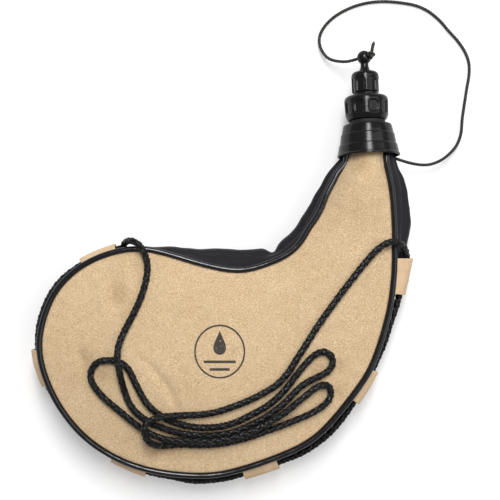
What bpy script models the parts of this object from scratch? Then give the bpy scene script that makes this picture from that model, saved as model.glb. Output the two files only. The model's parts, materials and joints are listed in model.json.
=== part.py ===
"""Leather bota bag: two suede panels and a gusset over a latex bladder, with a screw head.

The bag lies flat on its back panel. +Z is up, +Y runs towards the head, metres throughout.
"""
import math

import bmesh
import bpy
import numpy as np
from mathutils import Matrix, Vector
from mathutils.bvhtree import BVHTree
from mathutils.geometry import delaunay_2d_cdt

# Running gaps and cuts
CLEARANCE = 0.0003
OVERRUN = 0.001
WELD = 0.00001

# Bag
BAG_WIDTH = 0.219
BAG_LENGTH = 0.1975
FRONT_EDGE_HEIGHT = 0.034
BACK_EDGE_HEIGHT = 0.003
FRONT_DOME = 0.0085
BACK_SAG = 0.010
SUEDE_THICKNESS = 0.0016
GUSSET_THICKNESS = 0.0012
GUSSET_BULGE = 0.014
GUSSET_INSET = 0.0008
SEAM_GAP = 0.0014
GUSSET_DROP = SUEDE_THICKNESS + SEAM_GAP
NECK_TWIST = 0.004
NECK_ARCH_START_SHARE = 0.152
NECK_ARCH_END_SHARE = 0.344
NECK_ARCH_GAIN = 16.0
PIPING_DIAMETER = 0.0037
FRONT_PIPING_SETBACK = 0.0152
BACK_PIPING_SETBACK = 0.0190
LINER_THICKNESS = 0.0007
LINER_INSET = 0.0030
LINER_GAP = 0.0012
LINER_TOP = FRONT_EDGE_HEIGHT - SUEDE_THICKNESS - LINER_GAP
LINER_BOTTOM = BACK_EDGE_HEIGHT + SUEDE_THICKNESS + LINER_GAP
LINER_SIDES = 20
LINER_THROAT_SHARE = 0.86
LINER_CORNER_POWER = 0.55
LINER_BLEND_SECTIONS = 3
STATIONS = 64
PANEL_SPACING = 0.0130
NECK_SPACING = 0.0065

# Head, measured along its own axis from the collar's rim
HEAD_BASE_SHARES = (0.4274, 0.358, 0.706)
HEAD_BASE = (
    HEAD_BASE_SHARES[0] * BAG_WIDTH,
    HEAD_BASE_SHARES[1] * BAG_LENGTH,
    HEAD_BASE_SHARES[2] * FRONT_EDGE_HEIGHT,
)
HEAD_LEAN = math.radians(2.3)
HEAD_DIP = math.radians(4.0)
TURN_STEPS = 32
COLLAR_BASE_RADIUS = 0.0198
COLLAR_TOP_RADIUS = 0.0153
COLLAR_HEIGHT = 0.0201
COLLAR_WALL = 0.0013
COLLAR_DECK = 0.0016
COLLAR_STEP = 0.0006
COLLAR_ROUND = 0.0008
MOUTH_RADIUS = 0.0070
STEM_RADIUS = 0.0096
SPIGOT_RADIUS = 0.0090
BEAD_RADIUS = 0.0109
BEAD_START = -0.0070
BEAD_LENGTH = 0.0058
SHOULDER_DROP = 0.0027
STEM_SHOULDER = COLLAR_HEIGHT - COLLAR_DECK - SHOULDER_DROP
NECK_EASE = 0.0010
NECK_RING_RADIUS = SPIGOT_RADIUS + NECK_EASE + SUEDE_THICKNESS
NECK_END_GAP = 0.0020
NECK_RING_STEP = 0.0053
NECK_TOP = STEM_SHOULDER - NECK_END_GAP
NECK_RING_PLACES = (NECK_TOP, NECK_TOP - NECK_RING_STEP)
NECK_RING_ANGLE = math.radians(52.0)
NECK_RING_STEPS = 5
BINDING_WIDTH = 0.0042
BINDING_THICKNESS = 0.0014
GASKET_RADIUS = 0.0119
GASKET_THICKNESS = 0.0023

# Filler cap with its spout
CAP_BOTTOM = COLLAR_HEIGHT + GASKET_THICKNESS + 2 * CLEARANCE
CAP_HEIGHT = 0.0156
CAP_RADIUS = 0.0141
CAP_BODY_RADIUS = 0.0136
CAP_CHAMFER = 0.0030
CAP_SKIRT_RADIUS = 0.0123
CAP_ROUND = 0.0040
CAP_WALL = 0.0013
CAP_DECK = 0.0030
CAP_TOP = CAP_BOTTOM + CAP_HEIGHT
CAP_CEILING = CAP_TOP - CAP_DECK
STEM_TOP = CAP_CEILING - CLEARANCE
CAP_FLUTES = 9
CAP_FLUTE_WIDTH = 0.0084
CAP_FLUTE_LENGTH = 0.0084
CAP_FLUTE_DEPTH = 0.0011
SPOUT_RADIUS = 0.0046
SPOUT_TIP_RADIUS = 0.0026
SPOUT_BORE = 0.0012
SPOUT_LENGTH = 0.0099
SPOUT_TAPER = 0.0032

# Screw threads: rounded ridges, two whole turns to free each cap
CAP_PITCH = 0.0030
CAP_RIDGE = 0.00075
STOPPER_PITCH = 0.0020
STOPPER_RIDGE = 0.0005
THREAD_TURNS = 2
RIDGE_STEPS = 12
RIDGE_SINK_SHARE = 0.14

# Stopper with its pierced ball
STOPPER_RADIUS = 0.0087
STOPPER_LIP_RADIUS = 0.0078
STOPPER_LIP = 0.0013
STOPPER_WALL = 0.0031
STOPPER_ROOF = 0.0036
STOPPER_ROUND = 0.0034
STOPPER_FLUTES = 7
STOPPER_FLUTE_WIDTH = 0.0074
STOPPER_FLUTE_LENGTH = 0.0096
STOPPER_FLUTE_DEPTH = 0.0009
SEAL_THICKNESS = 0.0014
SEAL_BOTTOM = CAP_TOP + SPOUT_LENGTH + CLEARANCE
STOPPER_BOTTOM = CAP_TOP + CLEARANCE
STOPPER_CEILING = SEAL_BOTTOM + SEAL_THICKNESS + CLEARANCE
STOPPER_TOP = STOPPER_CEILING + STOPPER_ROOF
BALL_RADIUS = 0.0045
BALL_NECK = 0.00475
BALL_PLACE = STOPPER_TOP + BALL_NECK + BALL_RADIUS
BALL_STEM_RADIUS = 0.0026
BALL_FOOT_RADIUS = 0.0042
BALL_HOLE_RADIUS = 0.0014
BALL_HOLE_RISE = math.radians(40.0)
KNOT_RADIUS = 0.0021
KNOT_SQUASH_SHARE = 0.86
KNOT_TAIL = 0.0085
KNOT_TAIL_LEAN = (0.22, -0.30, 1.0)

# Cords and their keepers
STRAP_DIAMETER = 0.0046
STRAP_LAYER_GAP = 0.0005
STRAP_LAY_GAP = 0.00055
STRAP_HEIGHT_SHARE = 0.36
STRAP_SPACING = 1.9 * STRAP_DIAMETER
GUSSET_BAND_SHARES = (0.0, 0.18, STRAP_HEIGHT_SHARE, 0.57, 0.78, 1.0)
TETHER_DIAMETER = 0.0020
TETHER_SPACING = 2.6 * TETHER_DIAMETER
TETHER_EXIT_ANGLE = math.radians(-24.0)
KEEPER_LENGTH = 0.0215
KEEPER_THICKNESS = 0.0012
KEEPER_EDGE_SHARE = 0.03
KEEPER_FLAT_SHARE = 0.16
KEEPER_RAMP_SHARE = 0.20
KEEPER_BANDS = 9

# Panel outline from the neck's left side round to its right side, hand-chosen shares:
# across of BAG_WIDTH, along of BAG_LENGTH, front edge of FRONT_EDGE_HEIGHT, back edge of the way
# from BACK_EDGE_HEIGHT up to FRONT_EDGE_HEIGHT, twist of NECK_TWIST, bulge of GUSSET_BULGE
OUTLINE_SHARES = (
    (0.371, 0.353, 0.926, 0.342, 1.00, 0.42),
    (0.343, 0.310, 0.970, 0.243, 0.80, 0.58),
    (0.323, 0.264, 1.000, 0.156, 0.55, 0.60),
    (0.274, 0.151, 1.000, 0.035, 0.15, 0.67),
    (0.217, 0.060, 1.000, 0.000, 0.00, 0.72),
    (0.176, 0.024, 1.000, 0.000, 0.00, 0.80),
    (0.126, -0.001, 1.000, 0.000, 0.00, 0.98),
    (0.076, -0.016, 1.000, 0.000, 0.00, 1.18),
    (0.035, -0.019, 1.000, 0.000, 0.00, 1.20),
    (-0.060, 0.004, 1.000, 0.000, 0.00, 0.90),
    (-0.165, 0.039, 1.000, 0.000, 0.00, 0.50),
    (-0.228, 0.053, 1.000, 0.000, 0.00, 0.20),
    (-0.281, 0.047, 1.000, 0.000, 0.00, 0.08),
    (-0.339, 0.029, 1.000, 0.000, 0.00, 0.06),
    (-0.398, -0.005, 1.000, 0.000, 0.00, 0.07),
    (-0.447, -0.054, 1.000, 0.000, 0.00, 0.22),
    (-0.482, -0.115, 1.000, 0.000, 0.00, 0.20),
    (-0.510, -0.234, 1.000, 0.000, 0.00, 0.20),
    (-0.492, -0.342, 1.000, 0.000, 0.00, 0.14),
    (-0.440, -0.454, 1.000, 0.000, 0.00, 0.06),
    (-0.356, -0.551, 1.000, 0.000, 0.00, 0.06),
    (-0.228, -0.622, 1.000, 0.000, 0.00, 0.16),
    (-0.071, -0.647, 1.000, 0.000, 0.00, 0.35),
    (0.045, -0.631, 1.000, 0.000, 0.00, 0.33),
    (0.216, -0.562, 1.000, 0.000, 0.00, 0.39),
    (0.293, -0.500, 1.000, 0.000, 0.00, 0.39),
    (0.380, -0.383, 1.000, 0.000, 0.00, 0.26),
    (0.426, -0.302, 1.000, 0.000, 0.00, 0.19),
    (0.472, -0.141, 1.000, 0.000, 0.00, 0.32),
    (0.487, -0.020, 1.000, 0.000, 0.00, 0.52),
    (0.4885, 0.050, 1.000, 0.013, 0.00, 0.74),
    (0.489, 0.110, 1.000, 0.035, 0.10, 1.00),
    (0.485, 0.200, 1.000, 0.123, 0.45, 1.00),
    (0.476, 0.300, 1.015, 0.276, 0.80, 0.70),
    (0.473, 0.361, 1.030, 0.419, 1.00, 0.30),
)

# Keeper centres and liner sections, as shares of the way round the outline
KEEPER_PLACE_SHARES = (0.306, 0.421, 0.536, 0.650, 0.765, 0.864)
LINER_PAIR_SHARES = (
    (0.050, 0.950), (0.085, 0.915), (0.120, 0.860), (0.145, 0.800), (0.170, 0.730),
    (0.200, 0.665), (0.240, 0.605), (0.280, 0.545), (0.320, 0.490), (0.358, 0.445),
    (0.378, 0.423),
)

# Carrying cord, free stretch, after it leaves the first keeper: place in metres and height
STRAP_RISE = (
    (-0.0603, 0.0161, 0.0275), (-0.0562, 0.0174, 0.0360), (-0.0517, 0.0158, 0.0402),
)
STRAP_FALL = (
    (0.1062, 0.0168, 0.0402), (0.1116, 0.0156, 0.0386), (0.1154, 0.0124, 0.0332),
)

# Free stretch on the front panel: place in metres and layer, where 1 lies over another strand
STRAP_ROUTE = (
    (-0.0478, 0.0111, 0.5), (-0.0454, 0.0028, 0), (-0.0459, -0.0059, 0), (-0.0487, -0.0165, 0),
    (-0.0531, -0.0268, 0), (-0.0578, -0.0358, 0), (-0.0617, -0.0443, 0.4), (-0.0631, -0.0506, 0.9),
    (-0.0631, -0.0570, 1), (-0.0619, -0.0633, 1), (-0.0607, -0.0696, 0.6), (-0.0588, -0.0772, 0),
    (-0.0562, -0.0835, 0), (-0.0527, -0.0885, 0), (-0.0459, -0.0942, 0), (-0.0403, -0.0972, 0),
    (-0.0306, -0.1006, 0), (-0.0243, -0.1022, 0), (-0.0168, -0.1034, 0), (-0.0086, -0.1038, 0),
    (0.0009, -0.1031, 0), (0.0104, -0.1009, 0), (0.0199, -0.0965, 0), (0.0291, -0.0917, 0),
    (0.0393, -0.0838, 0), (0.0488, -0.0742, 0), (0.0535, -0.0708, 0), (0.0582, -0.0684, 0),
    (0.0629, -0.0663, 0), (0.0668, -0.0640, 0), (0.0699, -0.0594, 0), (0.0696, -0.0550, 0),
    (0.0667, -0.0521, 0), (0.0629, -0.0516, 0), (0.0582, -0.0538, 0), (0.0535, -0.0584, 0),
    (0.0488, -0.0640, 0), (0.0412, -0.0739, 0), (0.0365, -0.0789, 0), (0.0308, -0.0839, 0),
    (0.0251, -0.0876, 0), (0.0156, -0.0925, 0), (0.0104, -0.0951, 0), (0.0009, -0.0978, 0),
    (-0.0086, -0.0986, 0), (-0.0168, -0.0982, 0), (-0.0243, -0.0966, 0), (-0.0306, -0.0945, 0),
    (-0.0357, -0.0918, 0), (-0.0414, -0.0876, 0), (-0.0459, -0.0828, 0), (-0.0496, -0.0764, 0),
    (-0.0527, -0.0704, 0), (-0.0556, -0.0640, 0), (-0.0595, -0.0594, 0), (-0.0657, -0.0570, 0),
    (-0.0701, -0.0568, 0), (-0.0745, -0.0573, 0), (-0.0777, -0.0595, 0), (-0.0802, -0.0633, 0),
    (-0.0805, -0.0677, 0), (-0.0789, -0.0721, 0), (-0.0751, -0.0772, 0), (-0.0701, -0.0822, 0),
    (-0.0638, -0.0873, 0), (-0.0575, -0.0926, 0), (-0.0527, -0.0965, 0.1), (-0.0465, -0.1006, 0.3),
    (-0.0395, -0.1038, 0.7), (-0.0306, -0.1060, 1), (-0.0168, -0.1065, 1), (-0.0087, -0.1068, 1),
    (0.0009, -0.1060, 1), (0.0104, -0.1040, 1), (0.0199, -0.1003, 0.95), (0.0251, -0.0977, 0.9),
    (0.0345, -0.0928, 0.8), (0.0417, -0.0880, 0.6), (0.0478, -0.0830, 0.3), (0.0535, -0.0785, 0.15),
    (0.0582, -0.0748, 0.2), (0.0620, -0.0726, 0.25), (0.0653, -0.0720, 0.2), (0.0681, -0.0738, 0),
    (0.0691, -0.0770, 0), (0.0681, -0.0810, 0), (0.0649, -0.0848, 0), (0.0601, -0.0883, 0),
    (0.0535, -0.0916, 0), (0.0464, -0.0945, 0), (0.0393, -0.0974, 0), (0.0293, -0.1009, 0),
    (0.0199, -0.1043, 0), (0.0105, -0.1070, 0), (0.0009, -0.1089, 0), (-0.0086, -0.1097, 0),
    (-0.0180, -0.1096, 0), (-0.0243, -0.1094, 0), (-0.0310, -0.1098, 0.1), (-0.0370, -0.1100, 0.5),
    (-0.0428, -0.1078, 1.45), (-0.0462, -0.1022, 1.85), (-0.0462, -0.0972, 1.9),
    (-0.0436, -0.0936, 1.7), (-0.0391, -0.0920, 1.4), (-0.0350, -0.0911, 1.15),
    (-0.0243, -0.0907, 0.5), (-0.0117, -0.0904, 0), (-0.0022, -0.0888, 0), (0.0072, -0.0858, 0),
    (0.0199, -0.0807, 0), (0.0326, -0.0738, 0), (0.0383, -0.0689, 0), (0.0431, -0.0630, 0),
    (0.0469, -0.0568, 0), (0.0511, -0.0504, 0), (0.0554, -0.0437, 0), (0.0600, -0.0364, 0),
    (0.0701, -0.0222, 0), (0.0801, -0.0091, 0), (0.0899, 0.0032, 0), (0.0982, 0.0122, 0.15),
)

# Stopper's tether on the table, from the ball's side to the collar's rim: places in metres
TETHER_ROUTE = (
    (0.0803, 0.1322, 0.0130), (0.0727, 0.1335, 0.0082), (0.0676, 0.1365, 0.0058),
    (0.0640, 0.1429, 0.0038), (0.0636, 0.1496, 0.0024), (0.0668, 0.1564, 0.0015),
    (0.0732, 0.1628, 0.0011), (0.0811, 0.1675, 0.0011), (0.0889, 0.1705, 0.0011),
    (0.0968, 0.1722, 0.0011), (0.1062, 0.1728, 0.0011), (0.1172, 0.1719, 0.0011),
    (0.1267, 0.1700, 0.0011), (0.1345, 0.1663, 0.0011), (0.1417, 0.1604, 0.0011),
    (0.1471, 0.1541, 0.0011), (0.1534, 0.1471, 0.0011), (0.1581, 0.1400, 0.0011),
    (0.1606, 0.1329, 0.0011), (0.1607, 0.1251, 0.0011), (0.1593, 0.1167, 0.0011),
    (0.1578, 0.1069, 0.0011), (0.1563, 0.0965, 0.0011), (0.1554, 0.0872, 0.0016),
    (0.1524, 0.0795, 0.0032), (0.1474, 0.0737, 0.0054), (0.1415, 0.0693, 0.0080),
    (0.1349, 0.0666, 0.0106), (0.1287, 0.0660, 0.0128), (0.1221, 0.0668, 0.0148),
    (0.1165, 0.0682, 0.0162),
)

# Colours, roughness and metallic values
SUEDE = ("suede", (0.74, 0.56, 0.38), 0.95)
KEEPER_LEATHER = ("keeper_leather", (0.78, 0.60, 0.44), 0.8)
GUSSET_FABRIC = ("gusset_fabric", (0.018, 0.018, 0.022), 0.6)
PIPING_VINYL = ("piping_vinyl", (0.010, 0.010, 0.012), 0.2)
HEAD_PLASTIC = ("head_plastic", (0.012, 0.012, 0.013), 0.2)
RUBBER = ("rubber", (0.02, 0.02, 0.02), 0.7)
LATEX = ("latex", (0.55, 0.42, 0.26), 0.5)
CORD_BRAID = ("cord_braid", (0.015, 0.015, 0.016), 0.5)
WAXED_CORD = ("waxed_cord", (0.03, 0.025, 0.02), 0.6)


# Scene helpers
def clear_scene():
    for old in list(bpy.data.objects):
        bpy.data.objects.remove(old, do_unlink=True)


def new_collection(name):
    collection = bpy.data.collections.new(name)
    bpy.context.scene.collection.children.link(collection)
    return collection


def material(finish):
    name, colour, roughness = finish
    found = bpy.data.materials.get(name)
    if found:
        return found
    made = bpy.data.materials.new(name)
    made.use_nodes = True
    shader = made.node_tree.nodes["Principled BSDF"]
    shader.inputs["Base Color"].default_value = (*colour, 1.0)
    shader.inputs["Roughness"].default_value = roughness
    shader.inputs["Metallic"].default_value = 0.0
    return made


def add_mesh(name, vertices, faces, finish, edges=()):
    mesh = bpy.data.meshes.new(name)
    mesh.from_pydata([tuple(v) for v in vertices], list(edges), faces)
    mesh.update()
    made = bpy.data.objects.new(name, mesh)
    mesh.materials.append(material(finish))
    parts.objects.link(made)
    return made


def as_cutter(made):
    """Keep an object only as a shape for a Boolean."""
    parts.objects.unlink(made)
    cutters.objects.link(made)
    made.hide_render = True
    made.display_type = "WIRE"
    return made


def boolean(target, other, operation):
    step = target.modifiers.new(operation.lower(), "BOOLEAN")
    step.operation = operation
    step.object = other
    step.solver = "EXACT"


def solidify(target, thickness):
    """Give an open sheet its wall, inwards from the modelled face."""
    step = target.modifiers.new("wall", "SOLIDIFY")
    step.thickness = thickness
    step.offset = -1.0
    step.use_even_offset = True
    target.data.shade_smooth()


def face_outwards(target, outward):
    """Turn an open sheet's faces so that the first one looks along the given direction."""
    if target.data.polygons[0].normal.dot(outward) < 0:
        target.data.flip_normals()


def turned(name, profile, finish, steps=TURN_STEPS, closed=True):
    """A solid of revolution about local Z from (radius, height) points, outer side downwards."""
    count = len(profile)
    edges = [(i, i + 1) for i in range(count - 1)]
    if closed:
        edges.append((count - 1, 0))
    made = add_mesh(name, [(r, 0, h) for r, h in profile], [], finish, edges)
    step = made.modifiers.new("turn", "SCREW")
    step.axis = "Z"
    step.steps = steps
    step.render_steps = steps
    step.use_merge_vertices = True
    step.merge_threshold = WELD
    step.use_smooth_shade = True
    made.parent = head_axis
    return made


def rounded(corner, arrive, leave, radius, segments=3):
    """Points of a fillet at a profile corner, between two unit directions."""
    points = []
    corner = Vector(corner)
    start = corner - Vector(arrive) * radius
    end = corner + Vector(leave) * radius
    for i in range(segments + 1):
        t = i / segments
        points.append(tuple((1 - t) ** 2 * start + 2 * t * (1 - t) * corner + t * t * end))
    return points


def tube(name, points, diameter, finish, resolution=2):
    """A round cord or piping along world points, closed at both ends."""
    curve = bpy.data.curves.new(name, "CURVE")
    curve.dimensions = "3D"
    spline = curve.splines.new("POLY")
    spline.points.add(len(points) - 1)
    for knot, place in zip(spline.points, points):
        knot.co = (*place, 1.0)
    curve.bevel_depth = diameter / 2
    curve.bevel_resolution = resolution
    curve.use_fill_caps = True
    curve.materials.append(material(finish))
    made = bpy.data.objects.new(name, curve)
    parts.objects.link(made)
    return made


def mesh_from_curve(made):
    """Replace a curve by its welded mesh, for use in a Boolean."""
    bpy.context.view_layer.update()
    graph = bpy.context.evaluated_depsgraph_get()
    mesh = bpy.data.meshes.new_from_object(made.evaluated_get(graph))
    work = bmesh.new()
    work.from_mesh(mesh)
    bmesh.ops.remove_doubles(work, verts=work.verts, dist=WELD)
    work.to_mesh(mesh)
    work.free()
    name = made.name
    place = made.matrix_world.copy()
    bpy.data.objects.remove(made, do_unlink=True)
    result = bpy.data.objects.new(name, mesh)
    result.matrix_world = place
    parts.objects.link(result)
    return result


# Smooth curves
def smooth_points(points, spacing):
    """Read a smooth curve through the points at even steps."""
    knots = [np.array(p, float) for p in points]
    knots = [2 * knots[0] - knots[1]] + knots + [2 * knots[-1] - knots[-2]]
    fine = []
    samples = 12
    for a, b, c, d in zip(knots, knots[1:], knots[2:], knots[3:]):
        for step in range(samples):
            t = step / samples
            fine.append(
                0.5 * (2 * b + (c - a) * t + (2 * a - 5 * b + 4 * c - d) * t ** 2
                       + (3 * b - a - 3 * c + d) * t ** 3)
            )
    fine.append(knots[-2])
    fine = np.array(fine)
    travel = np.concatenate([[0], np.cumsum(np.linalg.norm(np.diff(fine[:, :3], axis=0), axis=1))])
    count = max(2, int(round(travel[-1] / spacing)))
    wanted = np.linspace(0, travel[-1], count + 1)
    return np.array([np.interp(wanted, travel, fine[:, k]) for k in range(fine.shape[1])]).T


def route_length(points):
    return float(np.linalg.norm(np.diff(np.array(points), axis=0), axis=1).sum())


def least_gap(points, diameter):
    """Smallest gap between strands of one cord, leaving out close neighbours along it."""
    fine = smooth_points(points, diameter / 2)
    travel = np.concatenate([[0], np.cumsum(np.linalg.norm(np.diff(fine, axis=0), axis=1))])
    least = math.inf
    for i, place in enumerate(fine):
        far = np.abs(travel - travel[i]) > diameter * math.pi
        if far.any():
            least = min(least, float(np.linalg.norm(fine[far] - place, axis=1).min()))
    return least - diameter


def smooth_step(value):
    t = min(1.0, max(0.0, value))
    return t * t * (3 - 2 * t)


# Head frame: local Z along the neck, local Y down into the table
def head_matrix():
    along = Vector((
        -math.sin(HEAD_LEAN) * math.cos(HEAD_DIP),
        math.cos(HEAD_LEAN) * math.cos(HEAD_DIP),
        -math.sin(HEAD_DIP),
    ))
    across = Vector((math.cos(HEAD_LEAN), math.sin(HEAD_LEAN), 0.0))
    down = along.cross(across)
    frame = Matrix((across, down, along)).transposed().to_4x4()
    frame.translation = Vector(HEAD_BASE)
    return frame


def head_point(across, up, along):
    return HEAD @ Vector((across, -up, along))


# Outline stations of the bag
def outline_stations():
    """Even stations round the bag: place, edge heights, back edge shift, bulge and normal."""
    half = NECK_RING_RADIUS * math.sin(NECK_RING_ANGLE)
    rise = NECK_RING_RADIUS * math.cos(NECK_RING_ANGLE)
    rows = []
    for x, y, front, back, twist, bulge in OUTLINE_SHARES:
        rows.append((
            x * BAG_WIDTH, y * BAG_LENGTH, front * FRONT_EDGE_HEIGHT,
            BACK_EDGE_HEIGHT + back * (FRONT_EDGE_HEIGHT - BACK_EDGE_HEIGHT),
            twist * NECK_TWIST, bulge * GUSSET_BULGE,
        ))
    length = route_length([(r[0], r[1]) for r in rows])
    stations = smooth_points(rows, length / STATIONS)
    ring_bulge = NECK_RING_RADIUS - half
    for side in (-1, 1):
        ring_rows = []
        for place in NECK_RING_PLACES:
            top = head_point(side * half, rise, place)
            bottom = head_point(side * half, -rise, place)
            ring_rows.append((top.x, top.y, top.z, bottom.z, 0.0, ring_bulge))
        if side < 0:
            stations = np.vstack([ring_rows, stations])
        else:
            stations = np.vstack([stations, ring_rows[::-1]])
    tangents = np.gradient(stations[:, :2], axis=0)
    tangents /= np.linalg.norm(tangents, axis=1)[:, None]
    normals = np.stack([tangents[:, 1], -tangents[:, 0]], axis=1)
    centre = stations[:, :2].mean(axis=0)
    middle = len(stations) // 2
    if (stations[middle, :2] - centre) @ normals[middle] < 0:
        normals = -normals
    return stations, normals


def at_share(share):
    """Station values and normal at a share of the way round, straight between stations."""
    place = share * (len(STATION_ROWS) - 1)
    low = min(int(place), len(STATION_ROWS) - 2)
    t = place - low
    row = STATION_ROWS[low] * (1 - t) + STATION_ROWS[low + 1] * t
    normal = STATION_NORMALS[low] * (1 - t) + STATION_NORMALS[low + 1] * t
    return row, normal / np.linalg.norm(normal)


def share_at_distance(distance):
    """Share of the way round at a distance along the outline from its left end."""
    steps = np.linalg.norm(np.diff(STATION_ROWS[:, :2], axis=0), axis=1)
    travel = np.concatenate([[0], np.cumsum(steps)])
    place = float(np.interp(distance, travel, np.arange(len(travel))))
    return place / (len(travel) - 1)


def gusset_point(share, down, lift=0.0):
    """A point on the gusset: down runs from 0 at the front edge to 1 at the back edge."""
    row, normal = at_share(share)
    x, y, front, back, twist, bulge = row
    front = front - GUSSET_DROP
    back = back + GUSSET_DROP
    swell = GUSSET_INSET + max(0.0, bulge - GUSSET_INSET) * math.sin(math.pi * down)
    out = swell + lift
    return Vector((
        x + twist * down + normal[0] * out,
        y + normal[1] * out,
        front + (back - front) * down,
    ))


def gusset_out(share, down):
    """Direction out of the gusset's face, across its width."""
    step = OVERRUN
    before = gusset_point(share, max(0.0, down - step))
    after = gusset_point(share, min(1.0, down + step))
    slope = (after - before).normalized()
    row, normal = at_share(share)
    flat = Vector((normal[0], normal[1], 0.0))
    out = flat - slope * flat.dot(slope)
    return out.normalized()


# Suede panels: a membrane over the outline
def inside(point, outline):
    x, y = point
    count = len(outline)
    hit = False
    for i in range(count):
        x1, y1 = outline[i]
        x2, y2 = outline[(i + 1) % count]
        if (y1 > y) != (y2 > y) and x < x1 + (y - y1) / (y2 - y1) * (x2 - x1):
            hit = not hit
    return hit


def edge_distance(point, outline):
    start = np.array(outline)
    end = np.roll(start, -1, axis=0)
    span = end - start
    t = ((np.array(point) - start) * span).sum(axis=1) / (span ** 2).sum(axis=1)
    nearest = start + span * np.clip(t, 0, 1)[:, None]
    return float(np.linalg.norm(nearest - np.array(point), axis=1).min())


def panel_sheet(heights, shifts, side):
    """Plan points, heights and triangles of one panel: side is +1 for the front, -1 for the back."""
    outline = [(row[0] + shift, row[1]) for row, shift in zip(STATION_ROWS, shifts)]
    levels = list(heights)
    steps = NECK_RING_STEPS
    arch_start = NECK_ARCH_START_SHARE * BAG_LENGTH
    arcs = []
    for place in NECK_RING_PLACES:
        for i in range(1, steps):
            angle = NECK_RING_ANGLE * (1 - 2 * i / steps)
            arcs.append(head_point(
                NECK_RING_RADIUS * math.sin(angle), side * NECK_RING_RADIUS * math.cos(angle),
                place,
            ))
    outline += [(p.x, p.y) for p in arcs[:steps - 1]]
    levels += [p.z for p in arcs]
    points = outline + [(p.x, p.y) for p in arcs[steps - 1:]]
    fixed = len(points)
    limit = min(row[1] for row in (STATION_ROWS[1], STATION_ROWS[-2])) - NECK_SPACING / 2
    low = np.min(outline, axis=0)
    high = np.max(outline, axis=0)
    row_number = 0
    y = low[1]
    while y < high[1]:
        spacing = NECK_SPACING if y > arch_start else PANEL_SPACING
        x = low[0] + (row_number % 2) * spacing / 2
        while x < high[0]:
            clear = y < limit and inside((x, y), outline)
            if clear and edge_distance((x, y), outline) > spacing / 2:
                points.append((x, y))
            x += spacing
        y += spacing * math.sqrt(3) / 2
        row_number += 1
    flat, _, faces, _, _, _ = delaunay_2d_cdt(
        [Vector(p) for p in points], [], [list(range(len(outline)))], 1, WELD
    )
    flat = np.array([tuple(v) for v in flat])
    return flat, [list(f) for f in faces], fixed, levels


def membrane(flat, faces, fixed, levels, fullness, side):
    """Heights of a filled skin: fixed at its edge, swollen between, more so at the neck."""
    count = len(flat)
    weights = np.zeros((count, count))
    for face in faces:
        for i in range(3):
            a, b = face[i], face[(i + 1) % 3]
            weights[a, b] = weights[b, a] = 1 / np.linalg.norm(flat[a] - flat[b]) ** 2
    heights = np.zeros(count)
    heights[:fixed] = levels
    inner = np.arange(fixed, count)
    system = np.diag(weights.sum(axis=1)) - weights
    along = flat[:, 1] / BAG_LENGTH - NECK_ARCH_START_SHARE
    reach = along / (NECK_ARCH_END_SHARE - NECK_ARCH_START_SHARE)
    load = np.array([1 + NECK_ARCH_GAIN * smooth_step(t) for t in reach])
    pull = system[np.ix_(inner, np.arange(fixed))] @ heights[:fixed]
    base = np.linalg.solve(system[np.ix_(inner, inner)], -pull)
    swell = np.linalg.solve(system[np.ix_(inner, inner)], load[inner])
    body = flat[inner, 1] < 0
    swell *= fullness / swell[body].max()
    heights[inner] = base + side * swell
    return heights


def panel(name, side, finish):
    """One suede panel: the front one domed, the back one sagged flat on the table."""
    if side > 0:
        shifts = np.zeros(len(STATION_ROWS))
        levels = STATION_ROWS[:, 2]
    else:
        shifts = STATION_ROWS[:, 4]
        levels = STATION_ROWS[:, 3]
    flat, faces, fixed, levels = panel_sheet(levels, shifts, side)
    fullness = FRONT_DOME if side > 0 else BACK_SAG
    heights = membrane(flat, faces, fixed, levels, fullness, side)
    heights = np.maximum(heights, 0.0)
    vertices = [(p[0], p[1], h) for p, h in zip(flat, heights)]
    made = add_mesh(name, vertices, faces, finish)
    face_outwards(made, Vector((0, 0, side)))
    solidify(made, SUEDE_THICKNESS)
    tree = BVHTree.FromPolygons([Vector(v) for v in vertices], faces)
    return made, tree


# Gusset, piping and liner
def loft(name, rows, finish, outward):
    """An open sheet through equal rows of points."""
    wide = len(rows[0])
    vertices = [v for row in rows for v in row]
    faces = []
    for i in range(len(rows) - 1):
        for j in range(wide - 1):
            a = i * wide + j
            faces.append((a, a + 1, a + wide + 1, a + wide))
    made = add_mesh(name, vertices, faces, finish)
    face_outwards(made, outward)
    return made


def make_gusset():
    last = len(STATION_ROWS) - 1
    rows = [[gusset_point(i / last, down) for down in GUSSET_BAND_SHARES] for i in range(last + 1)]
    first = STATION_NORMALS[0]
    made = loft("gusset", rows, GUSSET_FABRIC, Vector((first[0], first[1], 0)))
    solidify(made, GUSSET_THICKNESS)


def make_piping(name, side):
    radius = PIPING_DIAMETER / 2
    offset = radius + 2 * CLEARANCE
    last = len(STATION_ROWS) - 1
    setback = FRONT_PIPING_SETBACK if side > 0 else BACK_PIPING_SETBACK
    first = share_at_distance(setback)
    places = []
    for i in range(last + 1):
        share = first + (1 - 2 * first) * i / last
        row, normal = at_share(share)
        if side > 0:
            height = row[2] - SUEDE_THICKNESS / 2
            shift = 0.0
        else:
            height = row[3] + SUEDE_THICKNESS / 2
            shift = row[4]
        places.append((
            row[0] + shift + normal[0] * offset, row[1] + normal[1] * offset, height,
        ))
    tube(name, places, PIPING_DIAMETER, PIPING_VINYL, resolution=1)


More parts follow.
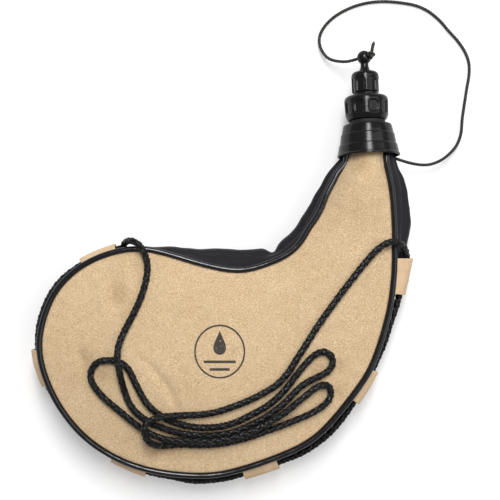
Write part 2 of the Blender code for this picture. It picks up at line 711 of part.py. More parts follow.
def make_liner():
    """A bladder of rounded sections from the neck's bead to the lobe's end."""
    ring = LINER_SIDES
    rows = []
    outer = BEAD_RADIUS + CLEARANCE + LINER_THICKNESS
    for along in (BEAD_START + BEAD_LENGTH - CLEARANCE, BEAD_START):
        row = []
        for k in range(ring):
            angle = math.tau * k / ring
            row.append(head_point(-outer * math.cos(angle), outer * math.sin(angle), along))
        rows.append(row)
    middle = (LINER_TOP + LINER_BOTTOM) / 2
    half_height = (LINER_TOP - LINER_BOTTOM) / 2
    for number, (left, right) in enumerate(LINER_PAIR_SHARES):
        a, _ = at_share(left)
        b, _ = at_share(right)
        start = Vector((a[0], a[1], 0))
        end = Vector((b[0], b[1], 0))
        across = (end - start).normalized()
        half_width = (end - start).length / 2 - LINER_INSET
        centre = (start + end) / 2
        lift = max(0.0, (a[3] + b[3]) / 2 - BACK_EDGE_HEIGHT)
        blend = min(1.0, number / LINER_BLEND_SECTIONS)
        power = 1.0 - (1.0 - LINER_CORNER_POWER) * blend
        tall = (half_height - lift / 2) if number else half_height * LINER_THROAT_SHARE
        row = []
        for k in range(ring):
            angle = math.tau * k / ring
            side = -math.copysign(abs(math.cos(angle)) ** power, math.cos(angle))
            up = math.copysign(abs(math.sin(angle)) ** power, math.sin(angle))
            place = centre + across * (side * half_width)
            place.z = middle + lift / 2 + up * tall
            row.append(place)
        rows.append(row)
    vertices = [v for row in rows for v in row]
    faces = []
    for i in range(len(rows) - 1):
        for k in range(ring):
            a = i * ring + k
            b = i * ring + (k + 1) % ring
            faces.append((a, b, b + ring, a + ring))
    faces.append(tuple((len(rows) - 1) * ring + k for k in range(ring)))
    made = add_mesh("liner", vertices, faces, LATEX)
    work = bmesh.new()
    work.from_mesh(made.data)
    bmesh.ops.recalc_face_normals(work, faces=work.faces)
    work.to_mesh(made.data)
    work.free()
    up_face = max(made.data.polygons, key=lambda p: p.center.z)
    if up_face.normal.z < 0:
        made.data.flip_normals()
    solidify(made, LINER_THICKNESS)


# Head
def ridge(name, radius, depth, start, pitch, turns, phase):
    """A rounded thread ridge about the head's axis, as a mesh in the head's frame."""
    steps = int(RIDGE_STEPS * turns)
    places = []
    for i in range(steps + 1):
        angle = math.tau * i / RIDGE_STEPS + phase
        places.append((
            radius * math.cos(angle), radius * math.sin(angle), start + pitch * i / RIDGE_STEPS,
        ))
    made = tube(name, places, depth * 2, HEAD_PLASTIC, resolution=1)
    made = mesh_from_curve(made)
    made.parent = head_axis
    return as_cutter(made)


def flute_cutter(name, count, radius, width, length, depth, start, lean=0.0):
    """A ring of long rounded hollows, sunk into a cap's side."""
    work = bmesh.new()
    across = width / 2
    sag = across
    for k in range(count):
        turn = Matrix.Rotation(math.tau * k / count, 4, "Z")
        place = Matrix.Translation((radius + sag - depth, 0, start + length / 2))
        tilt = Matrix.Rotation(lean, 4, "Y")
        size = Matrix.Diagonal((sag, across, length / 2, 1.0))
        bmesh.ops.create_uvsphere(
            work, u_segments=8, v_segments=6, radius=1.0, matrix=turn @ place @ tilt @ size
        )
    mesh = bpy.data.meshes.new(name)
    work.to_mesh(mesh)
    work.free()
    made = bpy.data.objects.new(name, mesh)
    parts.objects.link(made)
    made.parent = head_axis
    return as_cutter(made)


def make_collar():
    """A conical skirt in three stepped tiers, with a deck that rests round the stem."""
    tiers = 3
    tier = COLLAR_HEIGHT / tiers
    slope = (COLLAR_BASE_RADIUS - COLLAR_TOP_RADIUS - 2 * COLLAR_STEP) / COLLAR_HEIGHT
    profile = [(STEM_RADIUS + CLEARANCE, COLLAR_HEIGHT)]
    radius = COLLAR_TOP_RADIUS
    profile += rounded((radius, COLLAR_HEIGHT), (1, 0), (0, -1), COLLAR_ROUND)
    for number in range(1, tiers):
        radius += slope * tier
        height = COLLAR_HEIGHT - tier * number
        profile.append((radius, height))
        radius += COLLAR_STEP
        profile.append((radius, height - COLLAR_STEP / 2))
    profile += rounded((COLLAR_BASE_RADIUS, 0), (0, -1), (-1, 0), COLLAR_WALL / 2, 2)
    inner_top = COLLAR_TOP_RADIUS - COLLAR_WALL
    profile.append((COLLAR_BASE_RADIUS - COLLAR_WALL, 0))
    profile.append((inner_top, COLLAR_HEIGHT - COLLAR_DECK))
    profile.append((STEM_RADIUS + CLEARANCE, COLLAR_HEIGHT - COLLAR_DECK))
    return turned("collar", profile, HEAD_PLASTIC)


def make_neck_insert():
    bead_end = BEAD_START + BEAD_LENGTH
    edge = (STEM_RADIUS - MOUTH_RADIUS) / 3
    bead_edge = BEAD_RADIUS - SPIGOT_RADIUS
    profile = [
        (MOUTH_RADIUS, STEM_TOP),
        (STEM_RADIUS - edge, STEM_TOP),
        (STEM_RADIUS, STEM_TOP - edge),
        (STEM_RADIUS, STEM_SHOULDER),
        (SPIGOT_RADIUS, STEM_SHOULDER - edge),
        (SPIGOT_RADIUS, bead_end),
        (BEAD_RADIUS, bead_end - bead_edge / 2),
        (BEAD_RADIUS, BEAD_START + bead_edge),
        (SPIGOT_RADIUS, BEAD_START),
        (MOUTH_RADIUS, BEAD_START),
    ]
    made = turned("neck_insert", profile, HEAD_PLASTIC)
    sink = CAP_RIDGE * RIDGE_SINK_SHARE
    start = CAP_BOTTOM + CAP_RIDGE + CLEARANCE
    boolean(made, ridge(
        "neck_ridge", STEM_RADIUS + sink, CAP_RIDGE, start + CAP_PITCH / 2, CAP_PITCH,
        THREAD_TURNS, 0.0,
    ), "UNION")


def make_neck_binding():
    inner = NECK_RING_RADIUS + CLEARANCE
    outer = inner + BINDING_THICKNESS
    top = NECK_RING_PLACES[0] - CLEARANCE
    bottom = top - BINDING_WIDTH
    profile = [(inner, top), (outer, top), (outer, bottom), (inner, bottom)]
    turned("neck_binding", profile, WAXED_CORD)


def make_gasket():
    inner = STEM_RADIUS + CAP_RIDGE * (1 + RIDGE_SINK_SHARE) + CLEARANCE
    bottom = COLLAR_HEIGHT + CLEARANCE
    top = bottom + GASKET_THICKNESS
    profile = [(inner, top), (GASKET_RADIUS, top), (GASKET_RADIUS, bottom), (inner, bottom)]
    turned("filler_gasket", profile, RUBBER)


def make_filler_cap():
    top = CAP_TOP
    inner = CAP_SKIRT_RADIUS - CAP_WALL
    tip = top + SPOUT_LENGTH
    profile = [
        (SPOUT_BORE, tip),
        (SPOUT_TIP_RADIUS, tip),
        (SPOUT_RADIUS, tip - SPOUT_TAPER),
        (SPOUT_RADIUS, top),
    ]
    profile += rounded((CAP_RADIUS, top), (1, 0), (0, -1), CAP_ROUND)
    profile.append((CAP_BODY_RADIUS, CAP_BOTTOM + CAP_CHAMFER))
    profile += rounded((CAP_SKIRT_RADIUS, CAP_BOTTOM), (0, -1), (-1, 0), CAP_WALL / 3, 2)
    profile += [(inner, CAP_BOTTOM), (inner, CAP_CEILING), (SPOUT_BORE, CAP_CEILING)]
    made = turned("filler_cap", profile, HEAD_PLASTIC)
    slope = math.atan2(CAP_RADIUS - CAP_BODY_RADIUS, CAP_HEIGHT - CAP_ROUND - CAP_CHAMFER)
    start = CAP_BOTTOM + CAP_CHAMFER
    boolean(made, flute_cutter(
        "cap_flutes", CAP_FLUTES, (CAP_RADIUS + CAP_BODY_RADIUS) / 2, CAP_FLUTE_WIDTH,
        CAP_FLUTE_LENGTH, CAP_FLUTE_DEPTH, start, slope,
    ), "DIFFERENCE")
    sink = CAP_RIDGE * RIDGE_SINK_SHARE
    boolean(made, ridge(
        "cap_ridge", inner - sink, CAP_RIDGE, CAP_BOTTOM + CAP_RIDGE + CLEARANCE, CAP_PITCH,
        THREAD_TURNS, 0.0,
    ), "UNION")
    sink = STOPPER_RIDGE * RIDGE_SINK_SHARE
    boolean(made, ridge(
        "spout_ridge", SPOUT_RADIUS + sink, STOPPER_RIDGE,
        top + STOPPER_RIDGE + CLEARANCE + STOPPER_PITCH / 2, STOPPER_PITCH, THREAD_TURNS, 0.0,
    ), "UNION")


def make_stopper_seal():
    radius = STOPPER_RADIUS - STOPPER_WALL - CLEARANCE
    top = SEAL_BOTTOM + SEAL_THICKNESS
    profile = [(0, top), (radius, top), (radius, SEAL_BOTTOM), (0, SEAL_BOTTOM)]
    turned("stopper_seal", profile, RUBBER, closed=False)


def make_stopper():
    inner = STOPPER_RADIUS - STOPPER_WALL
    bottom = STOPPER_BOTTOM
    top = STOPPER_TOP
    ball = []
    arcs = 7
    foot = math.asin(BALL_STEM_RADIUS / BALL_RADIUS)
    for i in range(arcs + 1):
        angle = (math.pi - foot) * i / arcs
        ball.append((BALL_RADIUS * math.sin(angle), BALL_PLACE + BALL_RADIUS * math.cos(angle)))
    neck = (ball[-1][1] + top) / 2
    profile = ball + [
        (BALL_STEM_RADIUS, neck + (ball[-1][1] - neck) / 3),
        ((BALL_STEM_RADIUS + BALL_FOOT_RADIUS) / 2, (neck + top) / 2),
        (BALL_FOOT_RADIUS, top),
    ]
    profile += rounded((STOPPER_RADIUS, top), (1, 0), (0, -1), STOPPER_ROUND)
    profile += [
        (STOPPER_LIP_RADIUS, bottom + STOPPER_LIP),
        (STOPPER_LIP_RADIUS, bottom),
        (inner, bottom),
        (inner, STOPPER_CEILING),
        (0, STOPPER_CEILING),
    ]
    made = turned("stopper", profile, HEAD_PLASTIC, closed=False)
    boolean(made, flute_cutter(
        "stopper_flutes", STOPPER_FLUTES, STOPPER_RADIUS, STOPPER_FLUTE_WIDTH,
        STOPPER_FLUTE_LENGTH, STOPPER_FLUTE_DEPTH, bottom + STOPPER_LIP,
    ), "DIFFERENCE")
    sink = STOPPER_RIDGE * RIDGE_SINK_SHARE
    boolean(made, ridge(
        "stopper_ridge", inner - sink, STOPPER_RIDGE, bottom + STOPPER_RIDGE + CLEARANCE,
        STOPPER_PITCH, THREAD_TURNS, 0.0,
    ), "UNION")
    hole = turned("ball_hole", [
        (0, BALL_RADIUS + OVERRUN), (BALL_HOLE_RADIUS, BALL_RADIUS + OVERRUN),
        (BALL_HOLE_RADIUS, -BALL_RADIUS - OVERRUN), (0, -BALL_RADIUS - OVERRUN),
    ], HEAD_PLASTIC, steps=12, closed=False)
    hole.location = (0, 0, BALL_PLACE)
    hole.rotation_mode = "QUATERNION"
    hole.rotation_quaternion = hole_direction().to_track_quat("Z", "Y")
    boolean(made, as_cutter(hole), "DIFFERENCE")


def hole_direction():
    """Direction of the ball's hole in the head's frame, from the table side up to the knot."""
    return Vector((math.cos(BALL_HOLE_RISE), -math.sin(BALL_HOLE_RISE), 0.0))


# Cords
def make_knot():
    """The stopper knot on the tether's end, with its cut tail."""
    out = hole_direction()
    half_height = KNOT_RADIUS * KNOT_SQUASH_SHARE
    centre = Vector((0, 0, BALL_PLACE)) + out * (BALL_RADIUS + CLEARANCE + half_height)
    work = bmesh.new()
    turn = out.to_track_quat("Z", "Y").to_matrix().to_4x4()
    size = Matrix.Diagonal((1.0, 1.0, KNOT_SQUASH_SHARE, 1.0))
    bmesh.ops.create_uvsphere(
        work, u_segments=12, v_segments=8, radius=KNOT_RADIUS,
        matrix=Matrix.Translation(centre) @ turn @ size,
    )
    mesh = bpy.data.meshes.new("tether_knot")
    work.to_mesh(mesh)
    work.free()
    mesh.materials.append(material(WAXED_CORD))
    made = bpy.data.objects.new("tether_knot", mesh)
    parts.objects.link(made)
    made.parent = head_axis
    lean = Vector(KNOT_TAIL_LEAN).normalized()
    places = [centre + lean * (KNOT_TAIL * t) for t in (0.1, 0.4, 0.7, 1.0)]
    tail = mesh_from_curve(tube("knot_tail", places, TETHER_DIAMETER, WAXED_CORD))
    tail.parent = head_axis
    boolean(made, as_cutter(tail), "UNION")


def make_tether():
    """From the knot through the ball, round on the table and back under the collar."""
    out = hole_direction()
    ball = Vector((0, 0, BALL_PLACE))
    start = [HEAD @ (ball + out * (BALL_RADIUS * t)) for t in (1.0, 0.3, -0.4, -1.1)]
    radius = TETHER_DIAMETER / 2
    under = NECK_RING_RADIUS + CLEARANCE + BINDING_THICKNESS + radius
    angle = TETHER_EXIT_ANGLE
    rim = COLLAR_BASE_RADIUS - COLLAR_WALL - radius - 3 * CLEARANCE
    binding_end = NECK_RING_PLACES[0] - CLEARANCE - BINDING_WIDTH
    stop = binding_end - CLEARANCE
    end = []
    for reach, along in (
        (rim, 0.0), ((rim + under) / 2, stop / 2), (under, stop - radius), (under, stop),
    ):
        end.append(head_point(reach * math.cos(angle), reach * math.sin(angle), along))
    places = smooth_points(
        [tuple(p) for p in start] + list(TETHER_ROUTE) + [tuple(p) for p in end],
        TETHER_SPACING,
    )
    tube("tether", places, TETHER_DIAMETER, WAXED_CORD)
    print("tether length", round(route_length(places), 4), "points", len(places))


def station_shares(first, last):
    """The stations between two shares of the way round, with the two ends added."""
    spans = len(STATION_ROWS) - 1
    margin = 0.2 / spans
    between = [i / spans for i in range(spans) if first + margin < i / spans < last - margin]
    return [first] + between + [last]


def keeper_outer(share, down):
    """Keeper's outer face over the gusset, swelling out over the held cord."""
    reach = abs(down - STRAP_HEIGHT_SHARE)
    swell = 1 - smooth_step((reach - KEEPER_FLAT_SHARE) / KEEPER_RAMP_SHARE)
    lift = CLEARANCE + (STRAP_DIAMETER + CLEARANCE) * swell
    point = gusset_point(share, down)
    return point + gusset_out(share, down) * (lift + KEEPER_THICKNESS)


def make_keepers():
    total = route_length(STATION_ROWS[:, :2])
    half = KEEPER_LENGTH / total / 2
    for number, place in enumerate(KEEPER_PLACE_SHARES, 1):
        rows = []
        for share in station_shares(place - half, place + half):
            row = []
            for j in range(KEEPER_BANDS + 1):
                down = KEEPER_EDGE_SHARE + (1 - 2 * KEEPER_EDGE_SHARE) * j / KEEPER_BANDS
                row.append(keeper_outer(share, down))
            rows.append(row)
        _, normal = at_share(place)
        outward = Vector((normal[0], normal[1], 0))
        made = loft(f"keeper_{number}", rows, KEEPER_LEATHER, outward)
        solidify(made, KEEPER_THICKNESS)


def held_point(share):
    point = gusset_point(share, STRAP_HEIGHT_SHARE)
    return point + gusset_out(share, STRAP_HEIGHT_SHARE) * (CLEARANCE + STRAP_DIAMETER / 2)


def make_strap(front_tree):
    """The held stretch through the keepers and the free stretch on the front panel."""
    total = route_length(STATION_ROWS[:, :2])
    half = KEEPER_LENGTH / total / 2
    proud = STRAP_DIAMETER / total / 2
    first = KEEPER_PLACE_SHARES[0] - half - proud
    last = KEEPER_PLACE_SHARES[-1] + half + proud
    held = [held_point(share) for share in station_shares(first, last)]
    tube("strap_cord_held", held, STRAP_DIAMETER, CORD_BRAID)
    print("held cord length", round(route_length(held), 4))
    radius = STRAP_DIAMETER / 2
    layer_rise = STRAP_DIAMETER + STRAP_LAYER_GAP
    lying = []
    for x, y, layer in STRAP_ROUTE:
        hit = front_tree.ray_cast(Vector((x, y, FRONT_EDGE_HEIGHT * 3)), Vector((0, 0, -1)))
        height = hit[0].z if hit[0] else FRONT_EDGE_HEIGHT
        lying.append((x, y, height + STRAP_LAY_GAP + radius + layer * layer_rise))
    ends = []
    for place, beyond in ((held[0], held[0] - held[1]), (held[-1], held[-1] - held[-2])):
        along = beyond.normalized()
        near = place + along * CLEARANCE
        ends.append((tuple(near), tuple(near + along * radius)))
    route = [ends[0][1]] + list(STRAP_RISE) + lying + list(STRAP_FALL) + [ends[1][1]]
    places = [ends[0][0]] + list(smooth_points(route, STRAP_SPACING)) + [ends[1][0]]
    tube("strap_cord", places, STRAP_DIAMETER, CORD_BRAID)
    print("strap length", round(route_length(places), 4), "points", len(places))
    print("strap least gap to itself, mm", round(least_gap(places, STRAP_DIAMETER) * 1000, 2))


clear_scene()
parts = new_collection("leather_bota_bag")
cutters = new_collection("cutters")
HEAD = head_matrix()
head_axis = bpy.data.objects.new("head_axis", None)
parts.objects.link(head_axis)
head_axis.matrix_world = HEAD
STATION_ROWS, STATION_NORMALS = outline_stations()

front_panel, front_surface = panel("front_panel", 1, SUEDE)
panel("back_panel", -1, SUEDE)
make_gusset()
make_piping("front_piping", 1)
make_piping("back_piping", -1)
make_liner()
make_collar()
make_neck_insert()
make_neck_binding()
make_gasket()
make_filler_cap()
make_stopper_seal()
make_stopper()
make_keepers()
make_strap(front_surface)
make_knot()
make_tether()
print("head axis", [round(v, 6) for v in HEAD.col[2][:3]], "base", HEAD_BASE)
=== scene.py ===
# %% [markdown]
# A leather drinking bag, rebuilt piece by piece.
# The bag lies on a white table and is seen from straight above. Two kidney-shaped suede panels are
# sewn to a dark gusset with glossy piping in both seams. A black screw head closes the neck, a
# braided carrying cord lies folded on the front, and a thin tether holds the stopper.
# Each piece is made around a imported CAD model, so a piece goes where the CAD says.

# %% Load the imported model
import json
import math
from contextlib import contextmanager

import bmesh
import bpy
import numpy as np
from mathutils import Matrix, Vector, noise
from mathutils.bvhtree import BVHTree
from mathutils.kdtree import KDTree


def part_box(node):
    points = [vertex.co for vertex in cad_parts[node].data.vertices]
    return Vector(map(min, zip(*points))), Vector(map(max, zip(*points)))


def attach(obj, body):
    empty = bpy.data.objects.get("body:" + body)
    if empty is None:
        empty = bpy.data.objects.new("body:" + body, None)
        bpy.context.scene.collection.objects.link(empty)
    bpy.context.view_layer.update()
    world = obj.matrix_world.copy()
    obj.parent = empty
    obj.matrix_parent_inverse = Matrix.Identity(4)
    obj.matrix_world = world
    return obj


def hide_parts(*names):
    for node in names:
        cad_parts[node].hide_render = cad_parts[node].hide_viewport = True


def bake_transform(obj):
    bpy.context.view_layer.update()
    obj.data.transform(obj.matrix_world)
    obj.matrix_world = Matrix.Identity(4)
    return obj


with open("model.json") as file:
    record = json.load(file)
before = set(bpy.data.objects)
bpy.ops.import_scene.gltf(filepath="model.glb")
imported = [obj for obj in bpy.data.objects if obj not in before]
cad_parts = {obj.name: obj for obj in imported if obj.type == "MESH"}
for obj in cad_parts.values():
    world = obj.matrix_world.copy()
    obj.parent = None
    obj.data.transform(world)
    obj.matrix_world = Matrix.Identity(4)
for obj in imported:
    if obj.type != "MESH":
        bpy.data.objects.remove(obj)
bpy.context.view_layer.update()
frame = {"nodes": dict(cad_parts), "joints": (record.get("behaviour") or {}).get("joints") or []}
scene = bpy.context.scene

# %% [markdown]
# The camera looks straight down. A full view 325 mm wide at the table, from 0.9 m up, gives the same
# slight spread of near things as the photograph.

# %% Camera
CAMERA_PLACE = (0.0185, 0.0115, 0.9)
VIEW_WIDTH = 0.325
camera_data = bpy.data.cameras.new("camera")
camera_data.lens = camera_data.sensor_width * CAMERA_PLACE[2] / VIEW_WIDTH
camera = bpy.data.objects.new("camera", camera_data)
camera.location = CAMERA_PLACE
scene.collection.objects.link(camera)
scene.camera = camera
print("lens, mm:", round(camera_data.lens, 2))

# %% [markdown]
# Some small helpers serve the whole lesson. A mesh is made from plain lists, a finished object keeps
# only its evaluated mesh, and a route of given points is read as a smooth line at even steps.

# %% Mesh and route helpers
def new_object(name, data):
    made = bpy.data.objects.new(name, data)
    scene.collection.objects.link(made)
    return made


def mesh_object(name, places, faces):
    data = bpy.data.meshes.new(name)
    data.from_pydata([tuple(p) for p in places], [], faces)
    data.update()
    data.shade_smooth()
    return new_object(name, data)


def keep_result(made):
    """Replace an object's mesh by what its modifiers make of it."""
    graph = bpy.context.evaluated_depsgraph_get()
    result = bpy.data.meshes.new_from_object(made.evaluated_get(graph))
    made.modifiers.clear()
    if made.type == "MESH":
        made.data = result
        return made
    name = made.name
    bpy.data.objects.remove(made)
    return new_object(name, result)


def smooth_route(points, step):
    """A smooth line through the points, read at even steps."""
    knots = [np.array(p, float) for p in points]
    knots = [2 * knots[0] - knots[1]] + knots + [2 * knots[-1] - knots[-2]]
    fine = []
    for a, b, c, d in zip(knots, knots[1:], knots[2:], knots[3:]):
        for t in np.linspace(0, 1, 12, endpoint=False):
            fine.append(0.5 * (2 * b + (c - a) * t + (2 * a - 5 * b + 4 * c - d) * t ** 2
                               + (3 * b - a - 3 * c + d) * t ** 3))
    fine = np.array(fine + [knots[-2]])
    travel = distances(fine)
    wanted = np.linspace(0, travel[-1], max(2, round(travel[-1] / step)) + 1)
    return np.array([np.interp(wanted, travel, column) for column in fine.T]).T


def evened(line, rounds):
    """The line with each inner point moved towards its neighbours, round by round."""
    for _ in range(rounds):
        line[1:-1] = (line[:-2] + 2 * line[1:-1] + line[2:]) / 4
    return line


def distances(points):
    """How far along a line each of its points lies."""
    steps = np.linalg.norm(np.diff(np.array(points)[:, :3], axis=0), axis=1)
    return np.concatenate([[0], np.cumsum(steps)])


def points_of(made):
    flat = np.empty(len(made.data.vertices) * 3)
    made.data.vertices.foreach_get("co", flat)
    return flat.reshape(-1, 3)


def place_points(made, places):
    made.data.vertices.foreach_set("co", np.asarray(places, float).ravel())
    made.data.update()


def normals_of(made):
    return np.array([vert.normal for vert in made.data.vertices])


def height_share(places):
    """How high each place is, from 0 at the lowest to 1 at the highest."""
    low, high = places[:, 2].min(), places[:, 2].max()
    return (places[:, 2] - low) / (high - low)


def surface_tree(made):
    faces = [tuple(face.vertices) for face in made.data.polygons]
    return BVHTree.FromPolygons([Vector(p) for p in points_of(made)], faces)


def place_tree(places):
    """A search tree that finds the nearest of some places."""
    tree = KDTree(len(places))
    for number, place in enumerate(places):
        tree.insert(place, number)
    tree.balance()
    return tree


@contextmanager
def editing(made):
    """A mesh opened for editing; its faces are smooth once it's written back."""
    work = bmesh.new()
    work.from_mesh(made.data)
    yield work
    for face in work.faces:
        face.smooth = True
    work.to_mesh(made.data)
    work.free()


# %% [markdown]
# A skin is the smooth outer face of a soft CAD solid. The CAD solid is coarse and has a wall, so its
# outer sheet is picked by walking over soft edges only, and subdivision then rounds it. The same
# helper serves the panels, the gusset, the keepers and the bladder, which keeps them in their places.

# %% Skin helper
SOFT_EDGE = math.radians(52)
FLAT_ENOUGH = math.radians(60)
FACING_SHARE = 0.8
SAME_PLACE = 0.00001


def outer_sheet(node, name, toward, levels, keep_corners=False):
    """The smooth outer sheet of a CAD node, seeded at its farthest face along a direction."""
    work = bmesh.new()
    work.from_mesh(frame["nodes"][node].data)
    bmesh.ops.remove_doubles(work, verts=work.verts, dist=SAME_PLACE)
    toward = Vector(toward)
    facing = [f for f in work.faces if f.normal.dot(toward) > FACING_SHARE]
    seed = max(facing, key=lambda f: f.calc_center_median().dot(toward))
    sheet = {seed}
    waiting = [seed]
    while waiting:
        for edge in waiting.pop().edges:
            if len(edge.link_faces) == 2 and edge.calc_face_angle() < SOFT_EDGE:
                for face in edge.link_faces:
                    if face not in sheet:
                        sheet.add(face)
                        waiting.append(face)
    bmesh.ops.delete(work, geom=[f for f in work.faces if f not in sheet], context="FACES")
    bmesh.ops.join_triangles(work, faces=work.faces, angle_face_threshold=FLAT_ENOUGH,
                             angle_shape_threshold=math.pi)
    data = bpy.data.meshes.new(name)
    work.to_mesh(data)
    work.free()
    data.shade_smooth()
    made = new_object(name, data)
    step = made.modifiers.new("round", "SUBSURF")
    step.levels = step.render_levels = levels
    step.boundary_smooth = "PRESERVE_CORNERS" if keep_corners else "ALL"
    keep_result(made)
    print(name, "has", len(made.data.polygons), "faces after rounding")
    return made


def edge_loops(made):
    """The open edges of a sheet, each loop as a list of vertex numbers in order."""
    work = bmesh.new()
    work.from_mesh(made.data)
    work.verts.ensure_lookup_table()
    open_next = {}
    for edge in work.edges:
        if edge.is_boundary:
            loop = edge.link_loops[0]
            open_next[loop.vert.index] = loop.link_loop_next.vert.index
    work.free()
    loops = []
    while open_next:
        start, current = open_next.popitem()
        loop = [start, current]
        while current in open_next:
            current = open_next.pop(current)
            loop.append(current)
        loops.append(loop[:-1] if loop[-1] == loop[0] else loop)
    return sorted(loops, key=len, reverse=True)


# %% [markdown]
# The head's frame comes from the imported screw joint: its axis runs along the neck, and its point lies
# in the collar's rim. Every turned piece of the head is measured along that axis.

# %% Head frame
turn = next(j for j in frame["joints"] if j["name"] == "filler_cap_turn")
HEAD_ALONG = Vector(turn["axis"]).normalized()
HEAD_BASE = Vector(turn["pos_m"])
HEAD_ACROSS = Vector((HEAD_ALONG.y, -HEAD_ALONG.x, 0)).normalized()
HEAD_DOWN = HEAD_ALONG.cross(HEAD_ACROSS)
HEAD = Matrix((HEAD_ACROSS, HEAD_DOWN, HEAD_ALONG)).transposed().to_4x4()
HEAD.translation = HEAD_BASE
print("head axis:", [round(v, 4) for v in HEAD_ALONG])


def head_point(across, up, along):
    return HEAD @ Vector((across, -up, along))


def in_head(places):
    """Places in the head's frame: across, down and along."""
    turn_back = np.array(HEAD.inverted())
    return np.asarray(places) @ turn_back[:3, :3].T + turn_back[:3, 3]


# %% [markdown]
# A sewn edge is a closed line of points. These helpers give the level direction out of it at each
# point, a line beside it, and how far every point of a sheet lies from it as seen from above.

# %% Edge helpers
FLATTEN = np.array([1.0, 1.0, 0.0])


def edge_outwards(edge):
    """Level directions out of a closed edge line, one for each of its points."""
    ahead = np.roll(edge, -3, axis=0) - np.roll(edge, 3, axis=0)
    out = np.stack([ahead[:, 1], -ahead[:, 0], np.zeros(len(edge))], axis=1)
    out /= np.linalg.norm(out, axis=1)[:, None]
    middle = edge.mean(axis=0)
    return out if ((edge - middle) * out).sum(axis=1).mean() > 0 else -out


def beside(edge, out, lift):
    """A closed edge line moved outwards and up."""
    return edge + edge_outwards(edge) * out + np.array([0, 0, lift])


def edge_facts(made, loop):
    """For every point of a panel: distance to its sewn edge, and the number of the nearest point."""
    level = points_of(made) * FLATTEN
    tree = place_tree(level[loop])
    found = [tree.find(place) for place in level]
    return np.array([f[2] for f in found]), np.array([f[1] for f in found])


# %% [markdown]
# The front panel is a filled suede skin. Rounding gives the swell, and small moves of its points give
# what a filled bag shows: broad soft waves, puckers that fade away from the sewn edge, and a few
# creases where the leather has been folded. The seam is drawn in a little where it pulls.

# %% Front panel surface
EDGE_CALM = 0.012
WAVE_DEPTH = 0.00055
PUCKER_DEPTH = 0.00028
PUCKER_SPACING = 0.0085
PUCKER_REACH = 0.007
# Each crease has its line, its width and its height; a valley's height is negative.
CREASES = (
    (((-0.0530, -0.0525), (-0.0445, -0.0600), (-0.0370, -0.0690), (-0.0285, -0.0830),
      (-0.0235, -0.0935)), 0.0028, -0.00120),
    (((-0.0705, 0.0110), (-0.0690, -0.0060), (-0.0655, -0.0230), (-0.0640, -0.0420)),
     0.0042, -0.00100),
    (((-0.0600, 0.0030), (-0.0575, -0.0150), (-0.0560, -0.0330)), 0.0034, 0.00070),
    (((0.0715, -0.0330), (0.0820, -0.0230), (0.0910, -0.0090)), 0.0045, -0.00050),
    (((0.0560, -0.0425), (0.0660, -0.0400), (0.0760, -0.0430)), 0.0036, -0.00055),
    (((-0.0160, -0.0130), (0.0020, -0.0115), (0.0200, -0.0150)), 0.0080, -0.00050),
    (((0.0800, 0.0400), (0.0830, 0.0230), (0.0850, 0.0050)), 0.0050, -0.00045),
    (((-0.0352, -0.0690), (-0.0322, -0.0738), (-0.0290, -0.0790)), 0.0022, -0.00085),
    (((-0.0240, -0.0690), (-0.0222, -0.0750), (-0.0216, -0.0815)), 0.0020, -0.00060),
    (((-0.0892, -0.0495), (-0.0860, -0.0570), (-0.0832, -0.0640)), 0.0026, -0.00095),
    (((-0.0700, -0.0385), (-0.0672, -0.0455), (-0.0645, -0.0530)), 0.0022, -0.00060),
)
EDGE_SETBACK = 0.00035
EDGE_REACH = 0.014
# Each drawn place has its middle, how far the seam is pulled in, and how wide the pull is.
DRAWN_PLACES = (
    ((0.0719, 0.0561), 0.0012, 0.014), ((0.0595, 0.0360), 0.0015, 0.014),
    ((0.0480, 0.0150), 0.0015, 0.014), ((0.1052, 0.0680), 0.0022, 0.012),
)


def drawn_seam(rim):
    """How far the seam itself is pulled in at each point of the edge."""
    drawn = np.zeros(len(rim))
    for place, depth, width in DRAWN_PLACES:
        gap = np.linalg.norm(rim[:, :2] - np.array(place), axis=1)
        drawn = np.maximum(drawn, depth * np.exp(-(gap / width) ** 2))
    return drawn


def draw_in(made, loop, amounts):
    """Move a panel's edge inwards, and less and less of the panel behind it."""
    places = points_of(made)
    edge, near = edge_facts(made, loop)
    inwards = -edge_outwards(places[loop])
    fade = np.clip(1 - edge / EDGE_REACH, 0, 1) ** 2
    place_points(made, places + inwards[near] * (amounts[near] * fade)[:, None])


def crease_lift(places, route, width, depth):
    """A soft valley or ridge along a given line, fading out at its ends."""
    line = smooth_route([(x, y, 0) for x, y in route], width / 2)
    offset = places[:, None, :2] - line[None, :, :2]
    gaps = np.linalg.norm(offset, axis=2)
    nearest = gaps.argmin(axis=1)
    share = nearest / (len(line) - 1)
    fade = np.clip(np.minimum(share, 1 - share) / 0.3, 0.0, 1.0)
    return depth * np.exp(-(gaps.min(axis=1) / width) ** 2) * (0.25 + 0.75 * fade)


def waves(places, spacing, seed):
    """Smooth random heights from -1 to 1 with that spacing."""
    shift = Vector((seed, 2.3 * seed, 0.7 * seed))
    return np.array([noise.noise(Vector(p) / spacing + shift) for p in places])


def soften_panel(made, loop, creases, seed):
    places = points_of(made)
    edge, near = edge_facts(made, loop)
    travel = distances(places[loop])[near]
    free = np.clip(edge / EDGE_CALM, 0, 1)
    lift = WAVE_DEPTH * free * (waves(places, 0.045, seed) + 0.45 * waves(places, 0.018, seed + 5))
    ripple = np.sin(math.tau * travel / PUCKER_SPACING + 2.5 * waves(places, 0.03, seed + 9))
    lift += PUCKER_DEPTH * np.exp(-edge / PUCKER_REACH) * np.clip(edge / 0.002, 0, 1) * ripple
    for route, width, depth in creases:
        lift += crease_lift(places, route, width, depth) * free
    places[:, 2] += lift
    place_points(made, places)


# %% [markdown]
# The panel's edge is turned down under the piping: its open edge is drawn out in short steps, each
# with its own move outwards and up. The seam's line is kept first, as the cords and the piping
# follow it.

